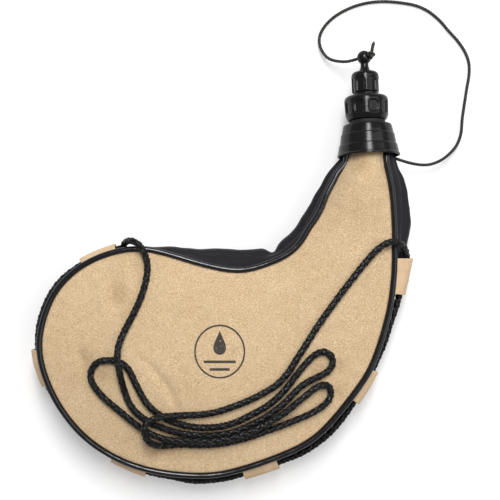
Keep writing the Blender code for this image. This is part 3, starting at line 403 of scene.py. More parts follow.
# %% Turned edge and front panel
def turn_edge(made, steps):
    """Extrude a sheet's open edges in steps of (outwards, up)."""
    with editing(made) as work:
        for out, up in steps:
            work.normal_update()
            rim = [e for e in work.edges if e.is_boundary]
            away = {}
            for edge in rim:
                first, last = edge.verts
                side = (first.co - last.co).cross(Vector((0, 0, 1)))
                middle = (first.co + last.co) / 2
                if side.dot(middle - edge.link_faces[0].calc_center_median()) < 0:
                    side = -side
                for vert in edge.verts:
                    away[vert] = away.get(vert, Vector()) + side.normalized()
            sides = list(away.values())
            old = place_tree([vert.co for vert in away])
            grown = bmesh.ops.extrude_edge_only(work, edges=rim)["geom"]
            for vert in grown:
                if isinstance(vert, bmesh.types.BMVert):
                    side = sides[old.find(vert.co)[1]].normalized()
                    vert.co += side * out + Vector((0, 0, up))


front = outer_sheet("front_panel", "front_panel_suede", (0, 0, 1), 3)
front_rim = edge_loops(front)[0]
draw_in(front, front_rim, drawn_seam(points_of(front)[front_rim]))
FRONT_EDGE = points_of(front)[front_rim].copy()
draw_in(front, front_rim, np.full(len(front_rim), EDGE_SETBACK))
soften_panel(front, front_rim, CREASES, 1.7)
front_surface = surface_tree(front)
print("front panel edge, mm:", round(distances(FRONT_EDGE)[-1] * 1000))

# %% [markdown]
# The back panel and the gusset come the same way. The gusset is loose cloth: it wrinkles across its
# width, is pinched where the waist turns into the neck and folded along the front seam above it.
# Both its edges run in behind the piping.

# %% Back panel and gusset
EDGE_TURNS = ((0.00045, -0.00035), (0.00050, -0.00110))
BACK_CALM = 0.004
BACK_WAVE_DEPTH = 0.0006
TABLE_GAP = 0.00002
GUSSET_TUCK = 0.0013
WRINKLE_DEPTH = 0.0010
WRINKLE_SQUASH = np.array([1.0, 1.0, 0.28])
PINCH_PLACE = np.array([0.0320, 0.0134])
PINCH_WIDTH = 0.0036
PINCH_DEPTH = 0.0042
FOLD_SHARE = 0.76
FOLD_WIDTH = 0.06
FOLD_DEPTH = 0.0015
FOLD_START = 0.002
FOLD_GROWTH = 0.010

back = outer_sheet("back_panel", "back_panel_suede", (0, 0, -1), 3)
back_rim = edge_loops(back)[0]
BACK_EDGE = points_of(back)[back_rim].copy()
back_places = points_of(back)
back_edge_gap = edge_facts(back, back_rim)[0]
back_free = np.clip(back_edge_gap / EDGE_CALM, 0, 1)
back_free *= np.clip(back_places[:, 2] / BACK_CALM, 0, 1)
back_places[:, 2] += BACK_WAVE_DEPTH * back_free * waves(back_places, 0.03, 4.1)
place_points(back, np.maximum(back_places, [-1, -1, TABLE_GAP]))

gusset = outer_sheet("gusset", "gusset_cloth", (0, -1, 0), 3)


def wrinkle_gusset():
    places = points_of(gusset)
    share = height_share(places)
    free = np.clip(np.minimum(share, 1 - share) / 0.22, 0, 1)
    squeezed = places * WRINKLE_SQUASH
    depth = WRINKLE_DEPTH * (waves(squeezed, 0.013, 3.3) + 0.4 * waves(squeezed, 0.006, 7.9))
    gap = np.linalg.norm(places[:, :2] - PINCH_PLACE, axis=1)
    depth -= PINCH_DEPTH * np.exp(-(gap / PINCH_WIDTH) ** 2)
    folded = np.clip((places[:, 1] - FOLD_START) / FOLD_GROWTH, 0, 1)
    depth -= FOLD_DEPTH * folded * np.exp(-((share - FOLD_SHARE) / FOLD_WIDTH) ** 2)
    place_points(gusset, places + normals_of(gusset) * (depth * free)[:, None])


def tuck_gusset():
    """Carry the gusset's two long edges straight on, in behind the piping."""
    front_tree, back_tree = place_tree(FRONT_EDGE), place_tree(BACK_EDGE)
    with editing(gusset) as work:
        rim = [e for e in work.edges if e.is_boundary]
        long_rim = [e for e in rim if abs((e.verts[0].co - e.verts[1].co).normalized().z) < 0.7]
        grown = bmesh.ops.extrude_edge_only(work, edges=long_rim)["geom"]
        for vert in grown:
            if isinstance(vert, bmesh.types.BMVert):
                at_front = front_tree.find(vert.co)[2] < back_tree.find(vert.co)[2]
                vert.co.z += GUSSET_TUCK if at_front else -GUSSET_TUCK


wrinkle_gusset()
gusset_surface = surface_tree(gusset)
tuck_gusset()
turn_edge(front, EDGE_TURNS)
turn_edge(back, [(out, -up) for out, up in EDGE_TURNS])
print("gusset height, mm:", np.round(points_of(gusset)[:, 2].max() * 1000, 1))


# %% [markdown]
# A wall is given to each sheet last, towards its hidden side, so the seen face stays in its place.
# The flat size of each sheet is read before that, as lengths along it.

# %% Walls for the sheets
SUEDE_WALL = 0.0014
CLOTH_WALL = 0.0008


def give_wall(made, thickness, worn=0.0):
    """Give a sheet its thickness, and bevel the edges where it's worn."""
    wall = made.modifiers.new("wall", "SOLIDIFY")
    wall.thickness = thickness
    wall.offset = -1.0
    if worn:
        edge = made.modifiers.new("worn_edge", "BEVEL")
        edge.width = worn
        edge.segments = 2
        edge.angle_limit = math.radians(50)
    keep_result(made)
    made.data.shade_smooth()
    print(made.name, "wall, mm:", thickness * 1000)


def face_along(made, direction):
    """Turn a sheet's faces so that most of them look along a direction."""
    dots = np.array([face.normal.dot(direction) for face in made.data.polygons])
    if np.mean(dots > 0) < 0.5:
        made.data.flip_normals()


face_along(front, Vector((0, 0, 1)))
face_along(back, Vector((0, 0, -1)))
SHEET_AREAS = {made.name: sum(face.area for face in made.data.polygons)
               for made in (front, back, gusset)}
SHEET_SIZES = {made.name: tuple(float(v) for v in np.ptp(points_of(made), axis=0)[:2])
               for made in (front, back)}
GUSSET_LENGTH = 0.700
GUSSET_SLACK = 1.02
SHEET_SIZES[gusset.name] = (SHEET_AREAS[gusset.name] / GUSSET_LENGTH * GUSSET_SLACK, GUSSET_LENGTH)
print("flat sizes, mm:", {n: [round(v * 1000) for v in size] for n, size in SHEET_SIZES.items()})
give_wall(front, SUEDE_WALL)
give_wall(back, SUEDE_WALL)
give_wall(gusset, CLOTH_WALL)
print("flat areas, cm2:", {n: round(a * 10000) for n, a in SHEET_AREAS.items()})

# %% [markdown]
# The carrying cord is one braided cord in two stretches. The held stretch runs round the bag under
# six keepers, and the free stretch lies folded on the front. Its points are placed from the
# photograph; a height is read from the suede under each one, and a crossing is lifted in a long hump.

# %% Route of the carrying cord
CORD_DIAMETER = 0.0046
CORD_GAP = 0.0003
LAY_GAP = 0.0002
HELD_HEIGHT = 0.0222
RAY_START = 0.03
ROUTE_STEP = 0.004
JOIN_LENGTH = 0.006
LAYER_RISE = CORD_DIAMETER + 0.0004
CORD_RISE = (
    (-0.0603, 0.0161, 0.0275), (-0.0562, 0.0174, 0.0360), (-0.0517, 0.0158, 0.0402),
)
CORD_FALL = (
    (0.1062, 0.0168, 0.0402), (0.1116, 0.0156, 0.0386), (0.1154, 0.0124, 0.0332),
)
# Each point is x, y and the layer that it lies in: 0 rests on the suede, 1 on another pass.
CORD_ROUTE = (
    (-0.0478, 0.0111, 0.5), (-0.0454, 0.0028, 0), (-0.0459, -0.0059, 0), (-0.0487, -0.0165, 0),
    (-0.0531, -0.0268, 0), (-0.0578, -0.0358, 0), (-0.0617, -0.0443, 0.4), (-0.0631, -0.0506, 0.9),
    (-0.0631, -0.0570, 1), (-0.0619, -0.0633, 1), (-0.0607, -0.0696, 0.6), (-0.0588, -0.0772, 0),
    (-0.0562, -0.0835, 0), (-0.0527, -0.0885, 0), (-0.0459, -0.0942, 0), (-0.0403, -0.0972, 0),
    (-0.0306, -0.1006, 0), (-0.0243, -0.1022, 0), (-0.0168, -0.1034, 0), (-0.0086, -0.1038, 0),
    (0.0009, -0.1031, 0), (0.0104, -0.1009, 0), (0.0199, -0.0965, 0), (0.0291, -0.0917, 0),
    (0.0393, -0.0838, 0), (0.0488, -0.0742, 0), (0.0535, -0.0708, 0), (0.0582, -0.0684, 0),
    (0.0629, -0.0663, 0), (0.0668, -0.0640, 0), (0.0699, -0.0594, 0), (0.0696, -0.0550, 0),
    (0.0667, -0.0521, 0), (0.0629, -0.0516, 0), (0.0582, -0.0538, 0), (0.0535, -0.0584, 0),
    (0.0488, -0.0640, 0), (0.0412, -0.0739, 0), (0.0365, -0.0789, 0), (0.0308, -0.0839, 0),
    (0.0251, -0.0876, 0), (0.0156, -0.0925, 0), (0.0104, -0.0951, 0), (0.0009, -0.0978, 0),
    (-0.0086, -0.0986, 0), (-0.0168, -0.0982, 0), (-0.0243, -0.0966, 0), (-0.0306, -0.0945, 0),
    (-0.0357, -0.0918, 0), (-0.0414, -0.0876, 0), (-0.0459, -0.0828, 0), (-0.0496, -0.0764, 0),
    (-0.0527, -0.0704, 0), (-0.0556, -0.0640, 0), (-0.0595, -0.0594, 0), (-0.0657, -0.0570, 0),
    (-0.0701, -0.0568, 0), (-0.0745, -0.0573, 0), (-0.0777, -0.0595, 0), (-0.0802, -0.0633, 0),
    (-0.0805, -0.0677, 0), (-0.0789, -0.0721, 0), (-0.0751, -0.0772, 0), (-0.0701, -0.0822, 0),
    (-0.0638, -0.0873, 0), (-0.0575, -0.0926, 0), (-0.0527, -0.0965, 0.1), (-0.0465, -0.1006, 0.3),
    (-0.0395, -0.1038, 0.7), (-0.0306, -0.1060, 1), (-0.0168, -0.1065, 1), (-0.0087, -0.1068, 1),
    (0.0009, -0.1060, 1), (0.0104, -0.1040, 1), (0.0199, -0.1003, 0.95), (0.0251, -0.0977, 0.9),
    (0.0345, -0.0928, 0.8), (0.0417, -0.0880, 0.6), (0.0478, -0.0830, 0.3), (0.0535, -0.0785, 0.15),
    (0.0582, -0.0748, 0.2), (0.0620, -0.0726, 0.25), (0.0653, -0.0720, 0.2), (0.0681, -0.0738, 0),
    (0.0691, -0.0770, 0), (0.0681, -0.0810, 0), (0.0649, -0.0848, 0), (0.0601, -0.0883, 0),
    (0.0535, -0.0916, 0), (0.0464, -0.0945, 0), (0.0393, -0.0974, 0), (0.0293, -0.1009, 0),
    (0.0199, -0.1043, 0), (0.0105, -0.1070, 0), (0.0009, -0.1089, 0), (-0.0086, -0.1097, 0),
    (-0.0180, -0.1096, 0), (-0.0243, -0.1094, 0), (-0.0310, -0.1098, 0.1), (-0.0370, -0.1100, 0.5),
    (-0.0428, -0.1078, 1.45), (-0.0462, -0.1022, 1.85), (-0.0462, -0.0972, 1.9),
    (-0.0436, -0.0936, 1.7), (-0.0391, -0.0920, 1.4), (-0.0350, -0.0911, 1.15),
    (-0.0243, -0.0907, 0.5), (-0.0117, -0.0904, 0), (-0.0022, -0.0888, 0), (0.0072, -0.0858, 0),
    (0.0199, -0.0807, 0), (0.0326, -0.0738, 0), (0.0383, -0.0689, 0), (0.0431, -0.0630, 0),
    (0.0469, -0.0568, 0), (0.0511, -0.0504, 0), (0.0554, -0.0437, 0), (0.0600, -0.0364, 0),
    (0.0701, -0.0222, 0), (0.0801, -0.0091, 0), (0.0899, 0.0032, 0), (0.0982, 0.0122, 0.15),
)


def open_run(points, wanted):
    """A closed line without its longest stretch of unwanted points."""
    count = len(points)
    found = np.flatnonzero(wanted)
    gaps = np.diff(np.append(found, found[0] + count))
    widest = int(gaps.argmax())
    first = found[(widest + 1) % len(found)]
    length = count - gaps[widest] + 1
    return points[(first + np.arange(length)) % count]


def held_route():
    """The held stretch's middle line, resting on the gusset where the CAD cord lies."""
    reach = CORD_DIAMETER / 2 + CORD_GAP
    cad_cord = surface_tree(frame["nodes"]["strap_cord_held"])
    line, wanted = [], []
    for place, out in zip(FRONT_EDGE, map(Vector, edge_outwards(FRONT_EDGE))):
        foot = Vector((place[0], place[1], HELD_HEIGHT))
        hit, normal, _, _ = gusset_surface.ray_cast(foot + out * RAY_START, -out, 1.5 * RAY_START)
        if hit is None:
            hit, normal = foot, out
        normal = normal if normal.dot(out) > 0 else -normal
        middle = hit + normal * reach
        line.append(tuple(middle))
        wanted.append(cad_cord.find_nearest(middle)[3] < reach)
    run = open_run(np.array(line), wanted)
    run = run if run[0][0] < run[-1][0] else run[::-1]
    return evened(smooth_route(run[::6], ROUTE_STEP), 2)


def lying_points():
    lying = []
    for x, y, layer in CORD_ROUTE:
        hit = front_surface.ray_cast(Vector((x, y, 0.1)), Vector((0, 0, -1)))[0]
        if hit is None:
            hit = front_surface.find_nearest(Vector((x, y, CORD_FALL[0][2])))[0]
        rest = hit.z + LAY_GAP + CORD_DIAMETER / 2
        lying.append((x, y, rest + layer * LAYER_RISE))
    return lying


held = held_route()
joins = round(JOIN_LENGTH / ROUTE_STEP)
free_points = [*held[joins:0:-1], held[0], *CORD_RISE, *lying_points(), *CORD_FALL, held[-1],
               *held[-2:-joins - 2:-1]]
free_line = smooth_route(free_points, ROUTE_STEP)
held_line = held[joins:len(held) - joins]
print("held stretch, m:", round(distances(held_line)[-1], 4))
print("free stretch, m:", round(distances(free_line)[-1], 4))

# %% [markdown]
# The tether is a thin waxed cord. From its knot it goes through the pierced ball, round on the table
# in a wide loop and back in under the collar.

# %% Route of the tether
BALL_PLACE = 0.06335
BALL_RADIUS = 0.0045
HOLE_RISE = math.radians(40.0)
HOLE_OUT = Vector((math.cos(HOLE_RISE), -math.sin(HOLE_RISE), 0.0))
TETHER_ROUTE = (
    (0.0803, 0.1322, 0.0130), (0.0727, 0.1335, 0.0082), (0.0676, 0.1365, 0.0058),
    (0.0640, 0.1429, 0.0038), (0.0636, 0.1496, 0.0024), (0.0668, 0.1564, 0.0015),
    (0.0732, 0.1628, 0.0011), (0.0811, 0.1675, 0.0011), (0.0889, 0.1705, 0.0011),
    (0.0968, 0.1722, 0.0011), (0.1062, 0.1728, 0.0011), (0.1172, 0.1719, 0.0011),
    (0.1267, 0.1700, 0.0011), (0.1345, 0.1663, 0.0011), (0.1417, 0.1604, 0.0011),
    (0.1471, 0.1541, 0.0011), (0.1534, 0.1471, 0.0011), (0.1581, 0.1400, 0.0011),
    (0.1606, 0.1329, 0.0011), (0.1607, 0.1251, 0.0011), (0.1593, 0.1167, 0.0011),
    (0.1578, 0.1069, 0.0011), (0.1563, 0.0965, 0.0011), (0.1554, 0.0872, 0.0016),
    (0.1524, 0.0795, 0.0032), (0.1474, 0.0737, 0.0054), (0.1415, 0.0693, 0.0080),
    (0.1349, 0.0666, 0.0106), (0.1287, 0.0660, 0.0128), (0.1221, 0.0668, 0.0148),
    (0.1165, 0.0682, 0.0162),
)
TETHER_EXIT_ANGLE = math.radians(-24.0)
# The last points go in under the collar: distance from the axis, and place along it.
TETHER_END = ((0.0166, 0.0), (0.0156, 0.0022), (0.0143, 0.0033), (0.0143, 0.0043))


def tether_points():
    ball = Vector((0, 0, BALL_PLACE))
    points = [HEAD @ (ball + HOLE_OUT * (BALL_RADIUS * t)) for t in (1.0, 0.3, -0.4, -1.1)]
    points += list(TETHER_ROUTE)
    for reach, along in TETHER_END:
        points.append(head_point(
            reach * math.cos(TETHER_EXIT_ANGLE), reach * math.sin(TETHER_EXIT_ANGLE), along,
        ))
    return points


tether_line = smooth_route([tuple(p) for p in tether_points()], 0.002)
print("tether, m:", round(distances(tether_line)[-1], 4))

# %% [markdown]
# Node trees are written with three small helpers: one adds a node and sets what is named, one joins
# a value or a socket to an input, and one does a step of arithmetic. Geometry and shader trees share
# them.

# %% Node helpers
def add_node(tree, kind, settings=None, **inputs):
    """Add a node; settings are its properties and inputs its sockets, by name or number."""
    made = tree.nodes.new(kind)
    for name, value in (settings or {}).items():
        setattr(made, name, value)
    for name, value in inputs.items():
        key = int(name[1:]) if name[0] == "_" else name.replace("_", " ")
        plug(tree, value, made.inputs[key])
    return made


def plug(tree, value, socket):
    if isinstance(value, bpy.types.NodeSocket):
        tree.links.new(value, socket)
    elif value is not None:
        socket.default_value = value


def calc(tree, operation, first, second=None, third=None):
    kind = "ShaderNodeMath"
    made = add_node(tree, kind, {"operation": operation}, _0=first, _1=second, _2=third)
    return made.outputs[0]


SINGLE_NUMBER = ("LENGTH", "DOT_PRODUCT", "DISTANCE")


def vector_calc(tree, operation, first, second=None, scale=None):
    made = add_node(tree, "ShaderNodeVectorMath", {"operation": operation}, _0=first, _1=second)
    if scale is not None:
        plug(tree, scale, made.inputs["Scale"])
    return made.outputs["Value" if operation in SINGLE_NUMBER else 0]


# %% [markdown]
# A braid is strands that wind round a core both ways, each passing over and under the others. A
# Geometry Nodes tree makes it: the route is copied once for each strand, every copy is wound about
# it, and a flat strand is swept along each one. With plaiting off, all strands wind one way, which
# gives the twisted tether.

# %% Geometry nodes of a wound cord
STRAND_SIDES = 7


def start_group(name, sockets, result):
    """A new geometry tree, with its inputs ready to be joined and one output."""
    tree = bpy.data.node_groups.new(name, "GeometryNodeTree")
    for label, kind, value in sockets:
        socket = tree.interface.new_socket(
            label, in_out="INPUT", socket_type=f"NodeSocket{kind}")
        if value is not None:
            socket.default_value = value
    tree.interface.new_socket(result, in_out="OUTPUT", socket_type="NodeSocketGeometry")
    return tree, tree.nodes.new("NodeGroupInput").outputs


def finish_group(tree, geometry, finish):
    """Give a geometry tree's result its material and send it out."""
    done = add_node(tree, "GeometryNodeSetMaterial", Geometry=geometry, Material=finish)
    tree.links.new(done.outputs[0], tree.nodes.new("NodeGroupOutput").inputs[0])
    return tree


def wound_cord_tree():
    tree, given = start_group("wound_cord", (
        ("Route", "Geometry", None), ("Strands", "Int", 8), ("Plaited", "Float", 1.0),
        ("Pitch", "Float", 0.023), ("Radius", "Float", 0.00138), ("Crossing", "Float", 0.0004),
        ("Strand Width", "Float", 0.0021), ("Strand Thickness", "Float", 0.0011),
        ("Step", "Float", 0.0012), ("Finish", "Material", None),
    ), "Cord")
    even = add_node(tree, "GeometryNodeResampleCurve", {"mode": "LENGTH"},
                    Curve=given["Route"], Length=given["Step"])
    copies = add_node(tree, "GeometryNodeDuplicateElements", {"domain": "SPLINE"},
                      Geometry=even.outputs[0], Amount=given["Strands"])
    number = copies.outputs["Duplicate Index"]
    travel = tree.nodes.new("GeometryNodeSplineParameter").outputs["Length"]
    odd = calc(tree, "MULTIPLY", calc(tree, "MODULO", number, 2.0), given["Plaited"])
    sense = calc(tree, "SUBTRACT", 1.0, calc(tree, "MULTIPLY", odd, 2.0))
    share = calc(tree, "DIVIDE", calc(tree, "SUBTRACT", number, odd), given["Strands"])
    turns = calc(tree, "MULTIPLY", sense, calc(tree, "DIVIDE", travel, given["Pitch"]))
    angle = calc(tree, "MULTIPLY", calc(tree, "ADD", turns, share), math.tau)
    beat = calc(tree, "DIVIDE", calc(tree, "MULTIPLY", travel, given["Strands"]), given["Pitch"])
    hump = calc(tree, "COSINE", calc(tree, "MULTIPLY", beat, math.pi))
    swing = calc(tree, "MULTIPLY", calc(tree, "MULTIPLY", hump, sense), given["Crossing"])
    reach = calc(tree, "ADD", given["Radius"], swing)
    normal = tree.nodes.new("GeometryNodeInputNormal").outputs["Normal"]
    tangent = tree.nodes.new("GeometryNodeInputTangent").outputs["Tangent"]
    binormal = vector_calc(tree, "CROSS_PRODUCT", tangent, normal)
    radial = vector_calc(
        tree, "ADD", vector_calc(tree, "SCALE", normal, scale=calc(tree, "COSINE", angle)),
        vector_calc(tree, "SCALE", binormal, scale=calc(tree, "SINE", angle)),
    )
    kept = add_node(tree, "GeometryNodeCaptureAttribute", Geometry=copies.outputs["Geometry"])
    kept.capture_items.new("VECTOR", "Radial")
    kept.capture_items.new("VECTOR", "Shift")
    plug(tree, radial, kept.inputs["Radial"])
    plug(tree, vector_calc(tree, "SCALE", radial, scale=reach), kept.inputs["Shift"])
    named = add_node(tree, "GeometryNodeStoreNamedAttribute", {"data_type": "FLOAT"},
                     Geometry=kept.outputs["Geometry"], Name="along", Value=travel)
    wound = add_node(tree, "GeometryNodeSetPosition", Geometry=named.outputs[0],
                     Offset=kept.outputs["Shift"])
    turned_out = add_node(tree, "GeometryNodeSetCurveNormal", {"mode": "FREE"},
                          Curve=wound.outputs[0], Normal=kept.outputs["Radial"])
    ring = add_node(tree, "GeometryNodeCurvePrimitiveCircle", Resolution=STRAND_SIDES, Radius=0.5)
    size = add_node(tree, "ShaderNodeCombineXYZ", X=given["Strand Thickness"],
                    Y=given["Strand Width"], Z=1.0)
    flat = add_node(tree, "GeometryNodeTransform", Geometry=ring.outputs[0],
                    Scale=size.outputs[0])
    round_share = tree.nodes.new("GeometryNodeSplineParameter").outputs["Factor"]
    section = add_node(tree, "GeometryNodeStoreNamedAttribute", {"data_type": "FLOAT"},
                       Geometry=flat.outputs[0], Name="around", Value=round_share)
    swept = add_node(tree, "GeometryNodeCurveToMesh", Curve=turned_out.outputs[0],
                     Profile_Curve=section.outputs[0], Fill_Caps=True)
    smooth = add_node(tree, "GeometryNodeSetShadeSmooth", Geometry=swept.outputs[0])
    real = add_node(tree, "GeometryNodeRealizeInstances", Geometry=smooth.outputs[0])
    return finish_group(tree, real.outputs[0], given["Finish"])


WOUND_CORD = wound_cord_tree()


# %% [markdown]
# A geometry tree runs on a curve laid along the route, and only the mesh that it makes is kept. Each
# wound cord gets a dark core tube, so that no light shows between its strands.

# %% Cords
def curve_along(name, line):
    curve = bpy.data.curves.new(name, "CURVE")
    curve.dimensions = "3D"
    spline = curve.splines.new("POLY")
    spline.points.add(len(line) - 1)
    for knot, place in zip(spline.points, line):
        knot.co = (*place, 1.0)
    return new_object(name, curve)


def run_tree(made, tree, sizes):
    """Run a geometry tree on an object and keep the plain mesh that it makes."""
    step = made.modifiers.new(tree.name, "NODES")
    step.node_group = tree
    for socket in tree.interface.items_tree:
        if socket.in_out == "INPUT" and socket.name in sizes:
            step[socket.identifier] = sizes[socket.name]
    return keep_result(made)


def tube(name, line, radii, sides):
    """A closed tube of changing radius along a line, with its section kept from twisting."""
    line = np.asarray(line, float)
    radii = np.broadcast_to(radii, len(line))
    ahead = np.gradient(line, axis=0)
    ahead /= np.linalg.norm(ahead, axis=1)[:, None]
    side = np.cross(ahead[0], [0.0, 0.0, 1.0])
    places = []
    for place, forward, radius in zip(line, ahead, radii):
        side = side - forward * (side @ forward)
        side /= np.linalg.norm(side)
        other = np.cross(forward, side)
        for k in range(sides):
            turn_by = math.tau * k / sides
            places.append(place + radius * (math.cos(turn_by) * side + math.sin(turn_by) * other))
    faces = []
    for i in range(len(line) - 1):
        for k in range(sides):
            a, b = i * sides + k, i * sides + (k + 1) % sides
            faces.append((a, b, b + sides, a + sides))
    last = (len(line) - 1) * sides
    faces.append(tuple(range(sides))[::-1])
    faces.append(tuple(last + k for k in range(sides)))
    return mesh_object(name, places, faces)


def join_pieces(name, made):
    """Join meshes into the first one and give it a name."""
    with bpy.context.temp_override(
        active_object=made[0], selected_editable_objects=made, selected_objects=made,
    ):
        bpy.ops.object.join()
    made[0].name = name
    return made[0]


def cord_pieces(name, line, sizes, core_radius):
    """A wound cord with the dark core that fills it, as one mesh."""
    wound = run_tree(curve_along(name, line), WOUND_CORD, sizes)
    core = tube(name + "_core", smooth_route(line, 0.003), core_radius, 8)
    return join_pieces(name, [wound, core])


TWISTED = {"Strands": 3, "Plaited": 0.0, "Pitch": 0.0062, "Crossing": 0.0}
BRAID_CORE = 0.0013
strap = cord_pieces("carrying_cord", free_line, {}, BRAID_CORE)
strap_held = cord_pieces("carrying_cord_held", held_line, {}, BRAID_CORE)
tether = cord_pieces("tether_cord", tether_line, {
    **TWISTED, "Radius": 0.00055, "Strand Width": 0.00130, "Strand Thickness": 0.00105,
    "Step": 0.0005,
}, 0.0005)
for made in (strap, strap_held, tether):
    print(made.name, "triangles:", sum(len(f.vertices) - 2 for f in made.data.polygons))

# %% [markdown]
# The knot that stops the tether is a small overhand knot pulled tight against the ball, with its cut
# tail standing up. A trefoil line swept with the cord's own width has that shape.

# %% Tether knot
KNOT_SIZE = 0.00108
KNOT_SPREAD = 0.62
KNOT_THICKNESS = 0.85
KNOT_CORD_RADIUS = 0.00092
KNOT_RISE = math.radians(50.0)
KNOT_REACH = BALL_RADIUS + 0.0019
KNOT_TAIL = ((0.0002, 0.0010, 0.0006), (-0.0002, 0.0030, 0.0008), (-0.0007, 0.0052, 0.0010),
             (-0.0011, 0.0070, 0.0014))
TAIL_TIP = 0.0016


def tether_knot():
    aside = Vector((math.cos(KNOT_RISE), -math.sin(KNOT_RISE), 0.0))
    centre = HEAD @ (Vector((0, 0, BALL_PLACE + 0.0006)) + aside * KNOT_REACH)
    out = (HEAD.to_3x3() @ aside).normalized()
    side = HEAD_ALONG
    across = out.cross(side)
    line = []
    for k in range(73):
        t = math.tau * k / 72
        u = math.sin(t) + 2 * math.sin(2 * t)
        v = math.cos(t) - 2 * math.cos(2 * t)
        w = -math.sin(3 * t)
        line.append(centre + KNOT_SIZE * (KNOT_SPREAD * u * across + KNOT_SPREAD * v * side
                                  + KNOT_THICKNESS * w * out))
    loop = tube("tether_knot_cord", line, KNOT_CORD_RADIUS, 10)
    tail_line = smooth_route(
        [tuple(centre + a * across + b * side + c * out) for a, b, c in KNOT_TAIL], 0.0004)
    tail = cord_pieces("knot_tail", tail_line, {
        **TWISTED, "Radius": 0.00058, "Strand Width": 0.00135, "Strand Thickness": 0.00110,
        "Step": 0.0004,
    }, 0.0006)
    ahead = tail_line[-1] - tail_line[-2]
    ahead *= TAIL_TIP / np.linalg.norm(ahead)
    tip_line = [tail_line[-1] + ahead * t for t in (-0.3, 0.1, 0.5, 1.0)]
    tip = tube("knot_tail_tip", tip_line, np.array([0.00095, 0.00092, 0.00065, 0.00022]), 10)
    return join_pieces("tether_knot_cord", [loop, tail, tip])


knot = tether_knot()
print("knot box, mm:", np.round(np.ptp(points_of(knot), axis=0) * 1000, 1))

# %% [markdown]
# The piping is a vinyl-covered cord sewn into each seam. It follows the panel's edge a cord's radius
# outside it and dives under the collar's rim. Small waves in its line and thickness keep it from
# looking machined, as the cover creases where it is sewn round the curves.

# %% Piping
PIPING_RADIUS = 0.00182
PIPING_OUT = 0.00224
PIPING_DROP = 0.0008
PIPING_STEP = 0.0016
PIPING_END = 0.0040
PIPING_DIVE_START = -0.012
PIPING_DIVE_LENGTH = 0.010
PIPING_WOBBLE = 0.00018
COLLAR_REACH = 0.0163


def piping(name, edge, drop):
    wanted = in_head(edge)[:, 2] < PIPING_END
    line = beside(edge, PIPING_OUT, drop)
    line = evened(smooth_route(open_run(line, wanted)[::3], PIPING_STEP), 3)
    local = in_head(line)
    reach = np.linalg.norm(local[:, :2], axis=1)
    pull = np.clip((local[:, 2] - PIPING_DIVE_START) / PIPING_DIVE_LENGTH, 0, 1)
    pull = pull * pull * (3 - 2 * pull)
    shrink = 1 - pull * np.clip(1 - COLLAR_REACH / reach, 0, 1)
    local[:, :2] *= shrink[:, None]
    line = np.array([tuple(HEAD @ Vector(p)) for p in local])
    wobble = waves(line, 0.012, 6.1)
    creased = waves(line, 0.0042, 8.4)
    line[:, 2] += PIPING_WOBBLE * wobble
    radii = PIPING_RADIUS * (1 + 0.035 * creased + 0.02 * wobble)
    print(name, "length, m:", round(distances(line)[-1], 3))
    return tube(name, line, radii, 20)


front_piping = piping("front_piping_vinyl", FRONT_EDGE, -PIPING_DROP)
back_piping = piping("back_piping_vinyl", BACK_EDGE, PIPING_DROP)

# %% [markdown]
# The piping's cord is wrapped in a tape, and the tape's flat edge is what the seam holds. It shows as
# a dark line down in the groove, so a slim roll of the same vinyl lies there.

# %% Piping tape
TAPE_RADIUS = 0.0008
TAPE_OUT = 0.0006
TAPE_DROP = 0.0017


def piping_tape(name, edge, drop):
    line = beside(edge, TAPE_OUT, drop)
    run = smooth_route(open_run(line, in_head(edge)[:, 2] < 0.0)[::3], 0.002)
    return tube(name, run, TAPE_RADIUS, 8)


front_tape = piping_tape("front_piping_tape", FRONT_EDGE, -TAPE_DROP)
back_tape = piping_tape("back_piping_tape", BACK_EDGE, TAPE_DROP)
print("tape points:", len(front_tape.data.vertices), len(back_tape.data.vertices))

# %% [markdown]
# Thread shows where each seam is pulled open a little: short stitches lie in the groove between the
# suede and the piping. A geometry tree sets one small stitch at even steps along a line; the same
# tree is run for both sides of the front seam and for the back one.

# %% Geometry nodes of a row of stitches
SEAM_CLEAR = 0.004
STITCH_STEP = 0.0027
STITCH_LENGTH = 0.0017
STITCH_WIDTH = 0.00042
STITCH_SIZES = (0.8, 1.15)


def stitch_tree():
    tree, given = start_group("stitch_row", (
        ("Seam", "Geometry", None), ("Step", "Float", STITCH_STEP), ("Seed", "Int", 4),
        ("Length", "Float", STITCH_LENGTH), ("Width", "Float", STITCH_WIDTH),
        ("Finish", "Material", None),
    ), "Stitches")
    spots = add_node(tree, "GeometryNodeCurveToPoints", {"mode": "LENGTH"},
                     Curve=given["Seam"], Length=given["Step"])
    ball = add_node(tree, "GeometryNodeMeshUVSphere", Segments=8, Rings=5, Radius=0.5)
    size = add_node(tree, "ShaderNodeCombineXYZ", X=given["Width"], Y=given["Width"],
                    Z=given["Length"])
    stitch = add_node(tree, "GeometryNodeTransform", Geometry=ball.outputs[0],
                      Scale=size.outputs[0])
    lean = add_node(tree, "FunctionNodeRandomValue", {"data_type": "FLOAT"},
                    Seed=given["Seed"])
    plug(tree, STITCH_SIZES[0], lean.inputs[2])
    plug(tree, STITCH_SIZES[1], lean.inputs[3])
    placed = add_node(tree, "GeometryNodeInstanceOnPoints", Points=spots.outputs["Points"],
                      Instance=stitch.outputs[0], Rotation=spots.outputs["Rotation"],
                      Scale=lean.outputs[1])
    real = add_node(tree, "GeometryNodeRealizeInstances", Geometry=placed.outputs[0])
    smooth = add_node(tree, "GeometryNodeSetShadeSmooth", Geometry=real.outputs[0])
    return finish_group(tree, smooth.outputs[0], given["Finish"])


STITCH_ROW = stitch_tree()


